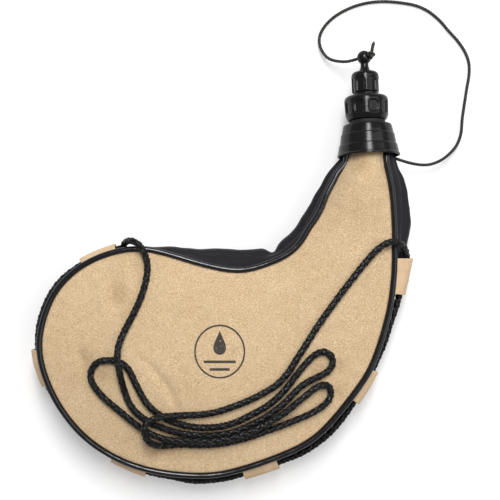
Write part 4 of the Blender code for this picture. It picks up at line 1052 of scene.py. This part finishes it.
def stitch_row(name, edge, out, lift, **sizes):
    """Stitches along a line beside a panel's edge, stopping short of the collar."""
    line = beside(edge, out, lift)
    run = smooth_route(open_run(line, in_head(edge)[:, 2] < -SEAM_CLEAR)[::4], 0.003)
    return run_tree(curve_along(name, run), STITCH_ROW, sizes)


front_stitches = stitch_row("front_seam_stitches", FRONT_EDGE, -0.0002, 0.0001)
gusset_stitches = stitch_row("gusset_seam_stitches", FRONT_EDGE, 0.0018, -0.0029, Length=0.0021)
back_stitches = stitch_row("back_seam_stitches", BACK_EDGE, 0.0002, -0.0002)
print("stitches in the front seam:", len(front_stitches.data.vertices) // 34)

# %% [markdown]
# Six leather keepers hold the cord against the gusset. Each is a strip of the panel's leather, sewn
# into both seams, and swells out over the cord. Its skin is rounded from the CAD piece with its
# corners kept, and it gets a wall and a fine worn edge.

# %% Keepers
KEEPER_WALL = 0.0011
KEEPER_WORN_EDGE = 0.00022
KEEPER_WAVE_DEPTH = 0.00022
KEEPER_TUCK = 0.0009
TUCKED_SHARE = 0.06
keepers = []
for number in range(1, 7):
    node = f"keeper_{number}"
    low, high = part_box(node)
    middle = (low + high) / 2
    near = int(np.linalg.norm(FRONT_EDGE[:, :2] - np.array(middle)[:2], axis=1).argmin())
    keeper = outer_sheet(node, node + "_leather", edge_outwards(FRONT_EDGE)[near], 3, True)
    places = points_of(keeper)
    share = height_share(places)
    free = np.clip(np.minimum(share, 1 - share) / 0.15, 0, 1)
    swell = KEEPER_WAVE_DEPTH * free * waves(places, 0.007, 2.0 + number)
    places += normals_of(keeper) * swell[:, None]
    at_top = np.clip((share - (1 - TUCKED_SHARE)) / TUCKED_SHARE, 0, 1)
    at_foot = np.clip((TUCKED_SHARE - share) / TUCKED_SHARE, 0, 1)
    places[:, 2] += KEEPER_TUCK * (at_top - at_foot)
    place_points(keeper, places)
    give_wall(keeper, KEEPER_WALL, KEEPER_WORN_EDGE)
    keepers.append(keeper)

# %% [markdown]
# The bladder inside is a thin latex bag, seen only if the shell is cut, but it is a piece of its own.

# %% Bladder
LINER_WALL = 0.0006
liner = outer_sheet("liner", "bladder_latex", (0, -1, 0), 2)
give_wall(liner, LINER_WALL)

# %% [markdown]
# The hard pieces of the head are turned: a profile of radius and height goes round the head's axis.
# Corners of a profile are rounded first, long edges are divided, and a shaping rule may then move the
# wall in or out by its angle and height, which carves flutes and raises screw threads.

# %% Turning helper
CORNER_POWER = 3.4
WALL_SHARE = 0.2
RIDGE_SHARE = 0.32


def rounded_profile(corners, arc_steps):
    """Profile points from corners of (radius, height, fillet)."""
    count = len(corners)
    points = []
    for i, (radius, height, fillet) in enumerate(corners):
        here = np.array([radius, height])
        if fillet <= 0:
            points.append(here)
            continue
        before = np.array(corners[i - 1][:2]) - here
        after = np.array(corners[(i + 1) % count][:2]) - here
        start = here + before / np.linalg.norm(before) * fillet
        end = here + after / np.linalg.norm(after) * fillet
        for t in np.linspace(0, 1, arc_steps + 1):
            points.append((1 - t) ** 2 * start + 2 * t * (1 - t) * here + t * t * end)
    return np.array(points)


def divided(profile, step, closed):
    """Add points so that no edge of a profile is longer than a step."""
    ends = list(profile) + ([profile[0]] if closed else [])
    fine = []
    for a, b in zip(ends, ends[1:]):
        parts = max(1, math.ceil(np.linalg.norm(b - a) / step))
        fine += [a + (b - a) * t / parts for t in range(parts)]
    return np.array(fine if closed else fine + [ends[-1]])


def fine_profile(corners, step, closed=True, arc_steps=5):
    """A profile with its corners rounded and its long edges divided."""
    return divided(rounded_profile(corners, arc_steps), step, closed)


def turned_piece(name, profile, rounds, shape=None):
    """A closed body of revolution about the head's axis; ends at radius 0 become poles."""
    closed = profile[0][0] > SAME_PLACE
    angles = math.tau * np.arange(rounds) / rounds
    places, rows = [], []
    for radius, height in profile:
        if radius <= SAME_PLACE:
            rows.append([len(places)] * rounds)
            places.append((0, 0, height))
            continue
        reach = np.full(rounds, radius) if shape is None else shape(angles, radius, height)
        rows.append(list(range(len(places), len(places) + rounds)))
        places += [(r * math.cos(a), r * math.sin(a), height) for r, a in zip(reach, angles)]
    faces = []
    pairs = list(zip(rows, rows[1:])) + ([(rows[-1], rows[0])] if closed else [])
    for low, high in pairs:
        for k in range(rounds):
            n = (k + 1) % rounds
            face = list(dict.fromkeys((low[k], low[n], high[n], high[k])))
            if len(face) > 2:
                faces.append(face)
    made = mesh_object(name, places, faces)
    with editing(made) as work:
        bmesh.ops.recalc_face_normals(work, faces=work.faces)
        work.transform(HEAD)
    print(name, "faces:", len(faces))
    return made


def thread(start, end, pitch, height):
    """Rise of a rounded screw ridge at an angle and height."""
    def rise(angles, place):
        if not start <= place <= end:
            return np.zeros_like(angles)
        phase = (place - start) / pitch - angles / math.tau
        near = np.abs((phase + 0.5) % 1 - 0.5) * pitch
        fade = min(1.0, (place - start) / pitch, (end - place) / pitch)
        return height * fade * np.clip(1 - (near / (RIDGE_SHARE * pitch)) ** 2, 0, 1)
    return rise


def hollows(angles, radius, place, count, width, low, high, depth, arched=False):
    """Depth of a ring of wide hollows with rounded corners, or with an arch over an open foot."""
    period = math.tau / count
    across = np.abs((angles + period / 2) % period - period / 2) * radius / (width / 2)
    if place < low or place > high:
        return np.zeros_like(angles)
    if arched:
        upward = max(0.0, (place - (high - width / 2)) / (width / 2))
        off_middle = np.sqrt(across ** 2 + upward ** 2)
    else:
        upward = abs(2 * place - low - high) / (high - low)
        off_middle = (across ** CORNER_POWER + upward ** CORNER_POWER) ** (1 / CORNER_POWER)
    wall = np.clip((1 - off_middle) / WALL_SHARE, 0, 1)
    return depth * wall * wall * (3 - 2 * wall)


# %% [markdown]
# The collar is a black skirt in three tiers over the neck of the bag. Fine moulded rings mark the
# tiers, and its rim is rounded.

# %% Collar, neck insert and binding
# A corner is its radius, its height along the axis and the size of its rounding.
COLLAR_PROFILE = (
    (0.00990, 0.02010, 0.0002), (0.01530, 0.02010, 0.0010), (0.01642, 0.01480, 0.0),
    (0.01644, 0.01420, 0.0002), (0.01700, 0.01385, 0.0003), (0.01780, 0.00800, 0.0),
    (0.01782, 0.00740, 0.0002), (0.01842, 0.00705, 0.0003), (0.01945, 0.00150, 0.0003),
    (0.01990, 0.00110, 0.0003), (0.01990, 0.0, 0.0004), (0.01850, 0.0, 0.0003),
    (0.01400, 0.01850, 0.0004), (0.00990, 0.01850, 0.0002),
)
collar = turned_piece("collar_skirt", fine_profile(COLLAR_PROFILE, 0.0015), 128)

INSERT_PROFILE = (
    (0.0070, 0.0353, 0.0003), (0.0096, 0.0353, 0.0007), (0.0096, 0.0158, 0.0002),
    (0.0090, 0.0150, 0.0002), (0.0090, -0.0012, 0.0002), (0.0109, -0.0022, 0.0003),
    (0.0109, -0.0060, 0.0005), (0.0090, -0.0070, 0.0002), (0.0070, -0.0070, 0.0003),
)
THREADED_RADIUS = 0.0094
neck_thread = thread(0.0242, 0.0338, 0.0030, 0.0007)
insert = turned_piece(
    "neck_insert_moulding", fine_profile(INSERT_PROFILE, 0.00035), 96,
    lambda angles, radius, place: radius + neck_thread(angles, place) * (radius > THREADED_RADIUS),
)
BINDING_TURNS = 3
BINDING_RADIUS = 0.0126
BINDING_START = 0.0096
BINDING_PITCH = 0.0013
binding_line = []
for turns in np.arange(BINDING_TURNS * 24 + 1) / 24:
    angle = math.tau * turns
    binding_line.append(tuple(HEAD @ Vector((
        BINDING_RADIUS * math.cos(angle), BINDING_RADIUS * math.sin(angle),
        BINDING_START + BINDING_PITCH * turns,
    ))))
binding = tube("neck_binding_cord", smooth_route(binding_line, 0.0012), 0.0006, 8)

# %% [markdown]
# The filler cap has nine wide grip hollows, a rounded shoulder and a spout with a fine screw.
# It is turned in one profile with its inner wall, so it is hollow as the real one is.

# %% Filler cap and gasket
CAP_TURN = math.radians(5.0)
CAP_GRIPPED_RADIUS = 0.0130
# Grips are given by their count, width, lowest and highest place and depth.
CAP_GRIPS = (9, 0.0072, 0.0263, 0.0347, 0.0011)
SPOUT_RADIUS = 0.0046
CAP_PROFILE = (
    (0.0012, 0.0485, 0.0002), (0.0026, 0.0485, 0.0004), (0.0046, 0.0453, 0.0004),
    (0.0046, 0.0386, 0.0003), (0.0141, 0.0386, 0.0039), (0.0136, 0.0260, 0.0005),
    (0.0123, 0.0230, 0.0004), (0.0110, 0.0230, 0.0003),
    (0.0110, 0.0356, 0.0004), (0.0012, 0.0356, 0.0002),
)
spout_thread = thread(0.0392, 0.0438, 0.0020, 0.00045)


def cap_shape(angles, radius, place):
    if radius > CAP_GRIPPED_RADIUS:
        return radius - hollows(angles - CAP_TURN, radius, place, *CAP_GRIPS)
    if abs(radius - SPOUT_RADIUS) < 0.0001:
        return radius + spout_thread(angles, place)
    return np.full_like(angles, radius)


GASKET_PROFILE = (
    (0.0106, 0.0227, 0.0002), (0.0114, 0.0227, 0.0003), (0.0114, 0.0204, 0.0003),
    (0.0106, 0.0204, 0.0002),
)
cap = turned_piece(
    "filler_cap_moulding", fine_profile(CAP_PROFILE, 0.0004, arc_steps=7), 216, cap_shape)
gasket = turned_piece("filler_gasket_ring", fine_profile(GASKET_PROFILE, 0.001), 96)

# %% [markdown]
# The stopper has seven arched grip scallops over a narrower lip, and ends in a ball on a flared
# foot. The ball is pierced for the tether with a cutter, and the cut is kept in the mesh.

# %% Stopper and seal
STOPPER_TURN = math.radians(-11.9)
STOPPER_GRIPPED_RADIUS = 0.0080
STOPPER_GRIPS = (7, 0.0068, 0.0404, 0.0505, 0.0010, True)
FOOT_RADIUS = 0.0026
FOOT_POINTS = (
    (0.0025, 0.0589), (0.0025, 0.0578), (0.0028, 0.0565), (0.0034, 0.0552), (0.0042, 0.05425),
)
STOPPER_PROFILE = (
    (0.0042, 0.05425, 0.0), (0.0087, 0.0541, 0.0034), (0.0087, 0.0412, 0.0004),
    (0.0079, 0.0403, 0.0003), (0.0078, 0.0389, 0.0003), (0.0056, 0.0389, 0.0003),
    (0.0056, 0.0505, 0.0003), (0.0, 0.0505, 0.0),
)
SEAL_PROFILE = (
    (0.0, 0.0502, 0.0), (0.0053, 0.0502, 0.0003), (0.0053, 0.0488, 0.0003), (0.0, 0.0488, 0.0),
)


def stopper_profile():
    """The stopper's half section: its ball, the flared foot, then the body with its bore."""
    ball = []
    foot = math.asin(FOOT_RADIUS / BALL_RADIUS)
    for angle in np.linspace(0, math.pi - foot, 22):
        ball.append((BALL_RADIUS * math.sin(angle), BALL_PLACE + BALL_RADIUS * math.cos(angle)))
    body = rounded_profile(STOPPER_PROFILE, 7)
    return divided(np.vstack([ball, FOOT_POINTS, body[1:]]), 0.0004, False)


def stopper_shape(angles, radius, place):
    if radius > STOPPER_GRIPPED_RADIUS:
        return radius - hollows(angles - STOPPER_TURN, radius, place, *STOPPER_GRIPS)
    return np.full_like(angles, radius)


def pierce(made, place, direction, radius, depth):
    """Cut a round hole through a piece along a direction of the head's frame."""
    line = [HEAD @ (Vector(place) + direction * t) for t in (-depth, depth)]
    cutter = tube("cutter", np.linspace(line[0], line[1], 3), radius, 24)
    cut = made.modifiers.new("hole", "BOOLEAN")
    cut.object = cutter
    cut.operation = "DIFFERENCE"
    cut.solver = "EXACT"
    keep_result(made)
    bpy.data.objects.remove(cutter)
    made.data.shade_smooth()


stopper = turned_piece("stopper_moulding", stopper_profile(), 208, stopper_shape)
HOLE_RADIUS = 0.00135
pierce(stopper, (0, 0, BALL_PLACE), HOLE_OUT, HOLE_RADIUS, 0.0075)
seal = turned_piece("stopper_seal_disc", fine_profile(SEAL_PROFILE, 0.001, False), 64)

# %% [markdown]
# Every material is a small tree of noise, waves and ramps in the object's own metres, so grain keeps
# its real size. The helpers below start a material and blend two colours by a value.

# %% Material helpers
def start_material(name, **settings):
    made = bpy.data.materials.new(name)
    made.use_nodes = True
    tree = made.node_tree
    shader = tree.nodes["Principled BSDF"]
    for key, value in settings.items():
        shader.inputs[key.replace("_", " ")].default_value = value
    return made, tree, shader


def object_place(tree):
    return tree.nodes.new("ShaderNodeTexCoord").outputs["Object"]


def noise_at(tree, place, scale, detail=3.0, rough=0.5):
    return add_node(tree, "ShaderNodeTexNoise", Vector=place, Scale=scale, Detail=detail,
                    Roughness=rough).outputs[0]


def spread(tree, value, low, high, to_low=0.0, to_high=1.0):
    return add_node(tree, "ShaderNodeMapRange", {"interpolation_type": "SMOOTHSTEP"}, _0=value,
                    _1=low, _2=high, _3=to_low, _4=to_high).outputs[0]


def weighted(tree, *terms):
    """The sum of some values, each times its weight."""
    total = None
    for value, weight in terms:
        part = calc(tree, "MULTIPLY", value, weight)
        total = part if total is None else calc(tree, "ADD", total, part)
    return total


def stored(tree, name):
    """A number that the mesh keeps for each of its points."""
    made = tree.nodes.new("ShaderNodeAttribute")
    made.attribute_name = name
    return made.outputs["Fac"]


def vary_gloss(tree, shader, value, rough):
    plug(tree, spread(tree, value, 0.3, 0.7, *rough), shader.inputs["Roughness"])


def mix_colour(tree, share, first, second):
    made = tree.nodes.new("ShaderNodeMix")
    made.data_type = "RGBA"
    plug(tree, share, made.inputs[0])
    for value, socket in ((first, made.inputs[6]), (second, made.inputs[7])):
        plug(tree, value if isinstance(value, bpy.types.NodeSocket) else (*value, 1.0), socket)
    return made.outputs[2]


def add_bump(tree, shader, height, depth, strength=1.0):
    made = add_node(tree, "ShaderNodeBump", Height=height, Distance=depth, Strength=strength)
    plug(tree, made.outputs[0], shader.inputs["Normal"])


# %% [markdown]
# Suede is the flesh side of the hide, so it is matt with a soft nap. Its colour shifts slowly over
# the hide and finely from fibre to fibre. The front bears a worn ring stamp with a plain drop in it,
# and darker patches beside the cord loops and under the collar, partly soiling and partly painted
# shade.

# %% Suede
SUEDE_DARK = (0.535, 0.362, 0.190)
SUEDE_LIGHT = (0.870, 0.664, 0.426)
# Colour of the darker patches: partly soiling, partly painted shade from the cords and the collar.
SUEDE_SHADED_SOILED = (0.500, 0.330, 0.180)
STAMP_CENTRE = (-0.00026, -0.0515, 0.0)
STAMP_RADIUS = 0.01615
STAMP_NARROWING = 1.055
DROP_FOOT = 0.0022
DROP_RADIUS = 0.0042
DROP_HEIGHT = 0.0108
DROP_SLOPE = 0.44
DROP_SHOULDER = 0.42
RING_EDGE = (0.00042, 0.00070)
# Each bar is its height in the stamp and half its length.
STAMP_BARS = ((-0.0063, 0.0098), (-0.0110, 0.0060))
BAR_EDGE = (0.0007, 0.0010)
INK = (0.042, 0.039, 0.040)
# Each darker patch is x, y and size: partly soiling, partly painted shade from the cords and the
# collar.
SHADED_SOILED_PLACES = (
    (0.0594, -0.0610, 0.0085), (-0.0719, -0.0653, 0.0100), (0.0740, -0.0600, 0.0080),
    (0.0740, -0.0760, 0.0085), (-0.0400, -0.1115, 0.0115), (-0.0290, -0.1140, 0.0105),
    (0.0880, 0.0660, 0.0115), (-0.0830, -0.0540, 0.0095), (-0.0640, -0.0150, 0.0120),
)


def shade_and_soil_mask(tree, place):
    """Darker patches beside the cord loops and under the collar: partly soiling, partly painted shade.
    """
    marks = 0.0
    flat_place = vector_calc(tree, "MULTIPLY", place, (1.0, 1.0, 0.0))
    for x, y, size in SHADED_SOILED_PLACES:
        gap = vector_calc(tree, "DISTANCE", flat_place, (x, y, 0.0))
        marks = calc(tree, "MAXIMUM", marks, spread(tree, gap, 0.0, size, 1.0, 0.0))
    broken = spread(tree, noise_at(tree, place, 420.0, 4.0, 0.7), 0.38, 0.62, 0.25, 1.0)
    return calc(tree, "MULTIPLY", marks, broken)


def stamp_mask(tree, place):
    """How strongly the worn stamp colours the suede."""
    from_centre = vector_calc(tree, "SUBTRACT", place, STAMP_CENTRE)
    parts = add_node(tree, "ShaderNodeSeparateXYZ", Vector=from_centre).outputs
    across = calc(tree, "MULTIPLY", parts["X"], STAMP_NARROWING)
    flat_place = add_node(tree, "ShaderNodeCombineXYZ", X=across, Y=parts["Y"]).outputs[0]
    reach = vector_calc(tree, "LENGTH", flat_place)
    off_ring = calc(tree, "ABSOLUTE", calc(tree, "SUBTRACT", reach, STAMP_RADIUS))
    mark = spread(tree, off_ring, *RING_EDGE, 1.0, 0.0)
    drop_low = vector_calc(tree, "DISTANCE", flat_place, (0.0, DROP_FOOT, 0.0))
    rise = calc(tree, "SUBTRACT", parts["Y"], DROP_FOOT)
    narrow = calc(tree, "MULTIPLY", calc(tree, "SUBTRACT", DROP_HEIGHT, rise), DROP_SLOPE)
    aside = calc(tree, "ABSOLUTE", parts["X"])
    inside = calc(tree, "SUBTRACT", narrow, aside)
    point = calc(tree, "MULTIPLY", spread(tree, inside, -0.0001, 0.0002),
                 calc(tree, "GREATER_THAN", rise, DROP_RADIUS * DROP_SHOULDER))
    bowl = spread(tree, drop_low, DROP_RADIUS - 0.0002, DROP_RADIUS + 0.0002, 1.0, 0.0)
    mark = calc(tree, "MAXIMUM", mark, calc(tree, "MAXIMUM", point, bowl))
    for height, half in STAMP_BARS:
        tall = calc(tree, "ABSOLUTE", calc(tree, "SUBTRACT", parts["Y"], height))
        bar = calc(tree, "MULTIPLY", spread(tree, tall, *BAR_EDGE, 1.0, 0.0),
                   spread(tree, aside, half, half + 0.0003, 1.0, 0.0))
        mark = calc(tree, "MAXIMUM", mark, bar)
    worn = spread(tree, noise_at(tree, place, 900.0, 4.0, 0.7), 0.14, 0.46)
    return calc(tree, "MULTIPLY", mark, calc(tree, "MULTIPLY", worn, 0.96))


def suede(name, stamped):
    made, tree, shader = start_material(
        name, Roughness=0.93, Sheen_Weight=0.12, Sheen_Roughness=0.55, Specular_IOR_Level=0.22)
    shader.inputs["Sheen Tint"].default_value = (1.0, 0.86, 0.68, 1.0)
    place = object_place(tree)
    broad = spread(tree, noise_at(tree, place, 26.0, 4.0, 0.55), 0.30, 0.70)
    patch = spread(tree, noise_at(tree, place, 170.0, 3.0, 0.6), 0.30, 0.72)
    fleck = spread(tree, noise_at(tree, place, 1900.0, 2.0, 0.5), 0.41, 0.59)
    share = weighted(tree, (broad, 0.12), (patch, 0.12), (fleck, 0.76))
    colour = mix_colour(tree, share, SUEDE_DARK, SUEDE_LIGHT)
    if stamped:
        # The darker patches are partly painted shade cast by the cords and the collar, partly soiling.
        shade_and_soil = calc(tree, "MULTIPLY", shade_and_soil_mask(tree, place), 0.85)
        colour = mix_colour(tree, shade_and_soil, colour, SUEDE_SHADED_SOILED)
        colour = mix_colour(tree, stamp_mask(tree, place), colour, INK)
    plug(tree, colour, shader.inputs["Base Color"])
    nap = weighted(tree, (fleck, 0.6), (noise_at(tree, place, 700.0, 4.0, 0.7), 0.7))
    add_bump(tree, shader, nap, 0.00016, 0.8)
    return made


suede_front = suede("suede_front", True)
suede_back = suede("suede_back", False)
print("nodes in the front's suede:", len(suede_front.node_tree.nodes))

# %% [markdown]
# The keepers are smoother leather with a fine pebble grain.

# %% Keeper leather
def keeper_leather():
    made, tree, shader = start_material(
        "keeper_leather", Roughness=0.72, Sheen_Weight=0.06, Specular_IOR_Level=0.32)
    place = object_place(tree)
    grain = add_node(tree, "ShaderNodeTexVoronoi", Vector=place, Scale=1150.0).outputs[0]
    broad = spread(tree, noise_at(tree, place, 90.0, 4.0, 0.6), 0.30, 0.70)
    fine = noise_at(tree, place, 1600.0, 3.0, 0.7)
    share = weighted(tree, (broad, 0.55), (fine, 0.45))
    colour = mix_colour(tree, share, (0.640, 0.440, 0.250), (0.840, 0.620, 0.395))
    plug(tree, colour, shader.inputs["Base Color"])
    vary_gloss(tree, shader, fine, (0.62, 0.80))
    add_bump(tree, shader, weighted(tree, (grain, 1.0), (fine, 0.5)), 0.00012, 0.6)
    return made


leather = keeper_leather()

# %% [markdown]
# The gusset is a coated cloth. Its threads run round the bag and from seam to seam, so each point
# first gets its distance round the bag as an attribute, and the weave is drawn from that and height.

# %% Gusset cloth
THREAD_STEP = 0.00062


def give_girth(made):
    """Store each point's distance round the bag, for the weave."""
    tree = place_tree(FRONT_EDGE * FLATTEN)
    travel = distances(FRONT_EDGE)
    values = [travel[tree.find(place)[1]] for place in points_of(made) * FLATTEN]
    made.data.attributes.new("girth", "FLOAT", "POINT").data.foreach_set("value", values)


def woven_cloth():
    made, tree, shader = start_material(
        "gusset_cloth", Roughness=0.5, Sheen_Weight=0.03, Specular_IOR_Level=0.22)
    place = object_place(tree)
    height = add_node(tree, "ShaderNodeSeparateXYZ", Vector=place).outputs["Z"]
    across = calc(tree, "MULTIPLY", stored(tree, "girth"), math.tau / THREAD_STEP)
    upward = calc(tree, "MULTIPLY", height, math.tau / THREAD_STEP)
    weave = calc(tree, "MULTIPLY", calc(tree, "SINE", across), calc(tree, "SINE", upward))
    broad = noise_at(tree, place, 60.0, 4.0, 0.6)
    fine = noise_at(tree, place, 1400.0, 3.0, 0.7)
    share = weighted(tree, (spread(tree, weave, -1.0, 1.0, 0.0, 0.5), 1.0), (broad, 0.6))
    colour = mix_colour(tree, share, (0.005, 0.005, 0.007), (0.020, 0.019, 0.024))
    plug(tree, colour, shader.inputs["Base Color"])
    vary_gloss(tree, shader, fine, (0.42, 0.62))
    add_bump(tree, shader, calc(tree, "ADD", weave, fine), 0.00008, 0.5)
    return made


give_girth(gusset)
cloth = woven_cloth()
print("threads round the bag:", round(distances(FRONT_EDGE)[-1] / THREAD_STEP))

# %% [markdown]
# The black plastics and rubbers differ in gloss and in the scale of their unevenness: vinyl is the
# glossiest and creases finely, the head is moulded and a little worn, and the seals are matt.

# %% Black plastics, rubber and latex
def plain_surface(name, dark, light, rough, spot, depth, **settings):
    """A surface whose colour, gloss and height wander slightly at a given scale."""
    made, tree, shader = start_material(name, **settings)
    place = object_place(tree)
    broad = noise_at(tree, place, spot, 4.0, 0.6)
    fine = noise_at(tree, place, spot * 9, 3.0, 0.65)
    share = spread(tree, weighted(tree, (broad, 0.6), (fine, 0.4)), 0.35, 0.65)
    plug(tree, mix_colour(tree, share, dark, light), shader.inputs["Base Color"])
    vary_gloss(tree, shader, fine, rough)
    add_bump(tree, shader, weighted(tree, (broad, 1.0), (fine, 0.35)), depth, 0.5)
    return made


vinyl = plain_surface("piping_vinyl", (0.004, 0.004, 0.005), (0.010, 0.010, 0.012), (0.11, 0.22),
                      240.0, 0.00012, Specular_IOR_Level=0.50)
plastic = plain_surface("head_plastic", (0.0045, 0.0045, 0.0050), (0.0085, 0.0085, 0.0095),
                        (0.15, 0.25), 160.0, 0.00003, Specular_IOR_Level=0.34)
# Black rubber, made darker still as painted shade for the gap under the filler cap.
rubber = plain_surface("seal_rubber", (0.006, 0.006, 0.006), (0.012, 0.012, 0.012), (0.62, 0.78),
                       400.0, 0.00006)
latex = plain_surface("bladder_latex", (0.46, 0.34, 0.20), (0.64, 0.50, 0.32), (0.38, 0.52),
                      60.0, 0.0002)
thread_finish = plain_surface("seam_thread", (0.50, 0.36, 0.22), (0.66, 0.50, 0.33), (0.7, 0.85),
                              1200.0, 0.00006)

# %% [markdown]
# The braid and the waxed tether read how far along and how far round each strand a point is,
# which the cord tree stored, so their fibres run with the strands. The braid has paler flecks, partly
# wear and partly painted glints of light on its glossy strands.

# %% Cord materials
FIBRE_DRIFT = 900.0


def strand_surface(name, dark, light, fleck, rough, fibres, **settings):
    made, tree, shader = start_material(name, **settings)
    place = object_place(tree)
    lane = calc(tree, "MULTIPLY", stored(tree, "around"), fibres * math.tau)
    drift = calc(tree, "MULTIPLY", stored(tree, "along"), FIBRE_DRIFT)
    fibre = calc(tree, "SINE", calc(tree, "ADD", lane, drift))
    spots = noise_at(tree, place, 1500.0, 3.0, 0.75)
    share = weighted(tree, (spread(tree, fibre, -1.0, 1.0, 0.0, 0.55), 1.0), (spots, 0.45))
    colour = mix_colour(tree, share, dark, light)
    # Paler flecks: partly wear, partly painted glints where light catches the strands.
    wear_and_glint = spread(tree, noise_at(tree, place, 760.0, 2.0, 0.8), 0.58, 0.68)
    colour = mix_colour(tree, calc(tree, "MULTIPLY", wear_and_glint, 0.75), colour, fleck)
    plug(tree, colour, shader.inputs["Base Color"])
    vary_gloss(tree, shader, spots, rough)
    add_bump(tree, shader, calc(tree, "ADD", fibre, spots), 0.00005, 0.55)
    return made


# The braid's pale fleck colour is partly a painted glint.
braid = strand_surface("cord_braid", (0.0020, 0.0020, 0.0023), (0.0070, 0.0070, 0.0077),
                       (0.085, 0.085, 0.090), (0.13, 0.28), 3, Specular_IOR_Level=0.30)
waxed = strand_surface("waxed_cord", (0.0120, 0.0115, 0.0085), (0.0300, 0.0280, 0.0210),
                       (0.060, 0.056, 0.045), (0.36, 0.52), 2, Coat_Weight=0.1)
print("materials so far:", len(bpy.data.materials))

# %% [markdown]
# The bag lies on a white table under a long, narrow light above it that leans to the head's side,
# which draws a bright line along the caps. A wide light from the right throws the soft shadow to
# the lower left, and an even sky fills the rest. To the camera the table glows a little, so it
# stays white and still shows a soft shadow.

# %% Light and table
KEY_DIRECTION = Vector((0.03, 0.46, 0.88)).normalized()
SIDE_DIRECTION = Vector((0.62, 0.10, 0.78)).normalized()
SKY_COLOUR = (0.97, 0.985, 1.0, 1.0)
SKY_STRENGTH = 0.26
TABLE_COLOUR = (0.86, 0.86, 0.86, 1.0)
TABLE_GLOW = 0.27
TABLE_REACH = 4


def add_light(name, direction, distance, width, length, power):
    data = bpy.data.lights.new(name, "AREA")
    data.shape = "RECTANGLE"
    data.size = width
    data.size_y = length
    data.energy = power
    made = new_object(name, data)
    made.location = direction * distance
    made.rotation_euler = (-direction).to_track_quat("-Z", "Y").to_euler()


add_light("key_light", KEY_DIRECTION, 2.0, 0.46, 1.20, 27.5)
add_light("side_light", SIDE_DIRECTION, 2.5, 2.4, 2.4, 21.0)
print("lights:", [light.name for light in bpy.data.lights])

world = bpy.data.worlds.new("even_sky")
world.use_nodes = True
sky = world.node_tree.nodes["Background"].inputs
sky[0].default_value = SKY_COLOUR
sky[1].default_value = SKY_STRENGTH
scene.world = world
scene.view_settings.view_transform = "Standard"


def table_material():
    made, tree, shader = start_material("white_table", Roughness=0.9, Specular_IOR_Level=0.0)
    shader.inputs["Base Color"].default_value = TABLE_COLOUR
    seen = tree.nodes.new("ShaderNodeLightPath").outputs["Is Camera Ray"]
    shader.inputs["Emission Color"].default_value = (1.0, 1.0, 1.0, 1.0)
    plug(tree, calc(tree, "MULTIPLY", seen, TABLE_GLOW), shader.inputs["Emission Strength"])
    return made


table_corners = [(x * TABLE_REACH, y * TABLE_REACH, 0)
                 for x, y in ((-1, -1), (1, -1), (1, 1), (-1, 1))]
table = mesh_object("table", table_corners, [(0, 1, 2, 3)])
table.data.materials.append(table_material())

# %% [markdown]
# Last, every piece gets its finish, rides on the body that carries it and stands for its CAD solid.
# The tether rides on no body; its place is baked into its points.

# %% Finish, ride and replace
def settle(made, node, body, finish):
    made.data.materials.clear()
    made.data.materials.append(finish)
    if body:
        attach(made, body)
    if node:
        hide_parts(node)


for made, node, slot, body, finish in (
    (front, "front_panel", "suede", "root", suede_front),
    (back, "back_panel", "suede", "root", suede_back),
    (gusset, "gusset", "gusset_fabric", "root", cloth),
    (front_piping, "front_piping", "piping_vinyl", "root", vinyl),
    (back_piping, "back_piping", "piping_vinyl", "root", vinyl),
    (front_tape, None, "piping_vinyl", "root", vinyl),
    (back_tape, None, "piping_vinyl", "root", vinyl),
    (front_stitches, None, "suede", "root", thread_finish),
    (gusset_stitches, None, "suede", "root", thread_finish),
    (back_stitches, None, "suede", "root", thread_finish),
    (liner, "liner", "latex", "root", latex),
    (collar, "collar", "head_plastic", "root", plastic),
    (insert, "neck_insert", "head_plastic", "root", plastic),
    (binding, "neck_binding", "waxed_cord", "root", waxed),
    (gasket, "filler_gasket", "rubber", "gasket_body", rubber),
    (cap, "filler_cap", "head_plastic", "filler_cap_body", plastic),
    (seal, "stopper_seal", "rubber", "seal_body", rubber),
    (stopper, "stopper", "head_plastic", "stopper_body", plastic),
    (knot, "tether_knot", "waxed_cord", "stopper_body", waxed),
    (strap_held, "strap_cord_held", "cord_braid", "root", braid),
    (strap, "strap_cord", "cord_braid", "root", braid),
    (tether, "tether", "waxed_cord", None, waxed),
):
    settle(made, node, body, finish)
for number, keeper in enumerate(keepers, 1):
    settle(keeper, f"keeper_{number}", "root", leather)

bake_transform(tether)
